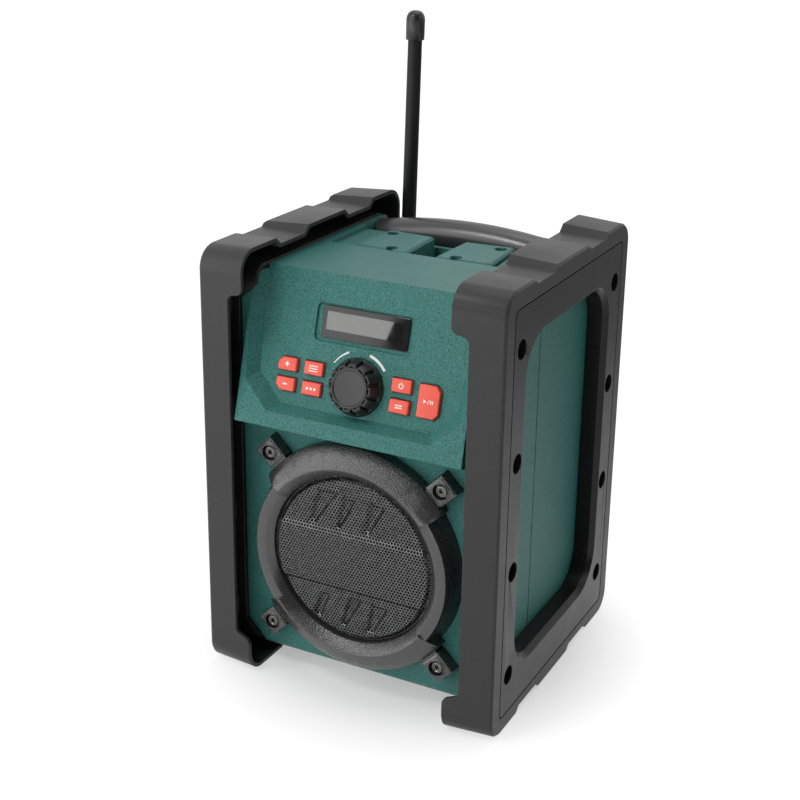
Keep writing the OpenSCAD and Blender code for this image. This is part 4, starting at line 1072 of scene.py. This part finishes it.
thin_wedge = mark_arc(THIN_END, *THIN_TURN) + mark_arc(THIN_INNER, *reversed(THIN_TURN))
for step in range(MARK_STEPS):
    radius = THIN_OUTER - THIN_TAPER * step / MARK_STEPS
    thin_wedge[step] = mark_arc(radius, *THIN_TURN)[step]
wide_wedge = mark_arc(WIDE_OUTER, *WIDE_TURN) + mark_arc(WIDE_INNER, *reversed(WIDE_TURN))
marks = outline_piece("volume_marks", thin_wedge, MARK_LOW, MARK_TOP)
join(marks, outline_piece("wide_mark", wide_wedge, MARK_LOW, MARK_TOP))
paint_piece(marks, white_print)
settle(marks, PANEL)
put_on(marks, "radio", "grey_plastic")

# %% [markdown]
# The ring and the side plates are held by black screws with a hexagonal socket. The head is spun
# with a rounded rim and a dished top. The socket could be inset and pushed in, but the turned head
# has no hexagon to start from, so it is cut out with a hexagonal tool. One screw is made, and each
# place where a packed screw's head lies gets a copy with its own mesh.

# %% Helpers: socket screws
SOCKET_DEPTH, HEAD_STEPS = 2.2, 48
HEAD_ROUND, HEAD_EDGE, DISH, DISH_TOP, DISH_FOOT = 0.15, 0.5, 0.5, 0.9, 0.5


def hex_screw(name, radius, height, socket):
    """A screw head of a given radius and height. The socket is measured to its corners."""
    floor_height = height - DISH
    head = lathe(name, [(0, 0), (radius, 0), (radius, floor_height),
                        (radius - HEAD_ROUND, height - HEAD_ROUND), (radius - HEAD_EDGE, height),
                        (socket + DISH_TOP, height), (socket + DISH_FOOT, floor_height),
                        (0, floor_height)], HEAD_STEPS)
    tool = outline_piece("tool", arc(0, 0, socket, 0, 300, 5), height - SOCKET_DEPTH, height + 1)
    hole = head.modifiers.new("hole", "BOOLEAN")
    hole.operation, hole.object, hole.solver = "DIFFERENCE", tool, "EXACT"
    start(head)
    bpy.ops.object.modifier_apply(modifier="hole")
    bpy.data.objects.remove(tool)
    smooth(head, angle=30)
    return head


def copy_to(piece, place):
    twin = piece.copy()
    twin.data = piece.data.copy()
    bpy.context.scene.collection.objects.link(twin)
    settle(twin, place)
    return twin


def repeat_at(piece, spots):
    """Stand a copy with its own mesh at each spot, and make them one piece."""
    copies = [copy_to(piece, spot) for spot in spots[1:]]
    settle(piece, spots[0])
    join(piece, *copies)


print("screw helpers ready, sockets", SOCKET_DEPTH, "mm deep")

# %% [markdown]
# Four screws hold the ring by its lugs, and each side plate has two columns of four. All heads of
# one group could stay apart, but they never move alone, so they are joined to one piece.

# %% Socket screws
LUG_AT, HEAD_LOW = 58.4, 4.5
screw = hex_screw("ring_screw_heads", radius=3.5, height=3.7, socket=1.8)
paint_piece(screw, black_screw)
repeat_at(screw, [SPEAKER @ spot_at(across * LUG_AT, up * LUG_AT, HEAD_LOW)
                  for across in (-1, 1) for up in (-1, 1)])
put_on(screw, "radio", "steel", "ring_screws")

SIDE_X, SIDE_Y, SIDE_ROWS = 93, 74.8, (36.3, 105.2, 174.1, 243)
for side, name in [(1, "right"), (-1, "left")]:
    screw = hex_screw(name + "_screw_heads", radius=4.4, height=3.1, socket=2.2)
    paint_piece(screw, black_screw)
    repeat_at(screw, [spot_at(side * SIDE_X, y, z, 90 * side, "Y")
                      for y in (-SIDE_Y, SIDE_Y) for z in SIDE_ROWS])
    put_on(screw, "radio", "steel", name + "_side_screws")

# %% [markdown]
# The mouldings keep their packed form, but their edges are rounded in the mesh, as a mould rounds
# them. The Bevel node alone only bends the light on an edge. A bevel in the mesh also rounds the
# outline against the white floor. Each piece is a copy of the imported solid's mesh: it is welded,
# the flat faces are made whole, and every edge sharper than a set angle is bevelled. The ring's
# faces have bores in them, so they stay in triangles.

# %% Rounded mouldings
BUMPER_R, PLATE_R, BLOCK_R, RING_R = 1.3, 1.0, 1.0, 0.6
WELD_GAP = 0.01
FLAT, SHARP, SMOOTH_UP_TO = 0.6, 28, 40  # degrees between two faces


def rounded_copy(node, width, paint, slot, segments=2, whole_faces=True):
    piece = bpy.data.objects.new(node + "_rounded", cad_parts[node].data.copy())
    bpy.context.scene.collection.objects.link(piece)
    edit(piece)
    bpy.ops.mesh.remove_doubles(threshold=WELD_GAP * MM)
    if whole_faces:
        bpy.ops.mesh.dissolve_limited(angle_limit=degrees(FLAT))
    bpy.ops.mesh.normals_make_consistent(inside=False)
    leave()
    smooth(piece, SMOOTH_UP_TO)
    soft = piece.modifiers.new("soft", "BEVEL")
    soft.limit_method, soft.angle_limit = "ANGLE", degrees(SHARP)
    soft.width, soft.segments = width * MM, segments
    soft.harden_normals = True
    start(piece)
    bpy.ops.object.modifier_apply(modifier="soft")
    paint_piece(piece, paint)
    put_on(piece, "radio", slot, node)


for side in ("left", "right"):
    rounded_copy(side + "_bumper", BUMPER_R, bumper_black, "bumper_rubber", segments=3)
    rounded_copy(side + "_side_plate", PLATE_R, plate_black, "black_plastic")
    rounded_copy(side + "_tool_block", BLOCK_R, teal, "green_abs")
rounded_copy("speaker_ring", RING_R, ring_black, "black_plastic", whole_faces=False)

# %% [markdown]
# The antenna's end cap is a soft tip, a straight barrel with a blunt, rounded end, and it leans
# with the antenna's rod. A cylinder with a bevelled end would come close, but a spun profile sets
# every radius of the end.

# %% Antenna cap
TIP_LENGTH, TIP_LEAN, TIP_STEPS = 19, 1.2, 48
low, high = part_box("antenna_cap")
tip = lathe("antenna_tip", [(0, 0), (5.9, 0), (6.2, 0.5), (6.2, 13.4), (5.9, 15.2), (5.1, 16.9),
                            (3.8, 18.2), (2, 18.85), (0, TIP_LENGTH)], TIP_STEPS)
paint_piece(tip, tip_black)
smooth(tip, angle=50)
half_down = Matrix.Translation((0, 0, -TIP_LENGTH / 2 * MM))
leaning = Matrix.Rotation(degrees(TIP_LEAN), 4, "Y") @ half_down
settle(tip, Matrix.Translation((low + high) / 2) @ leaning)
put_on(tip, "antenna", "gloss_black", "antenna_cap")
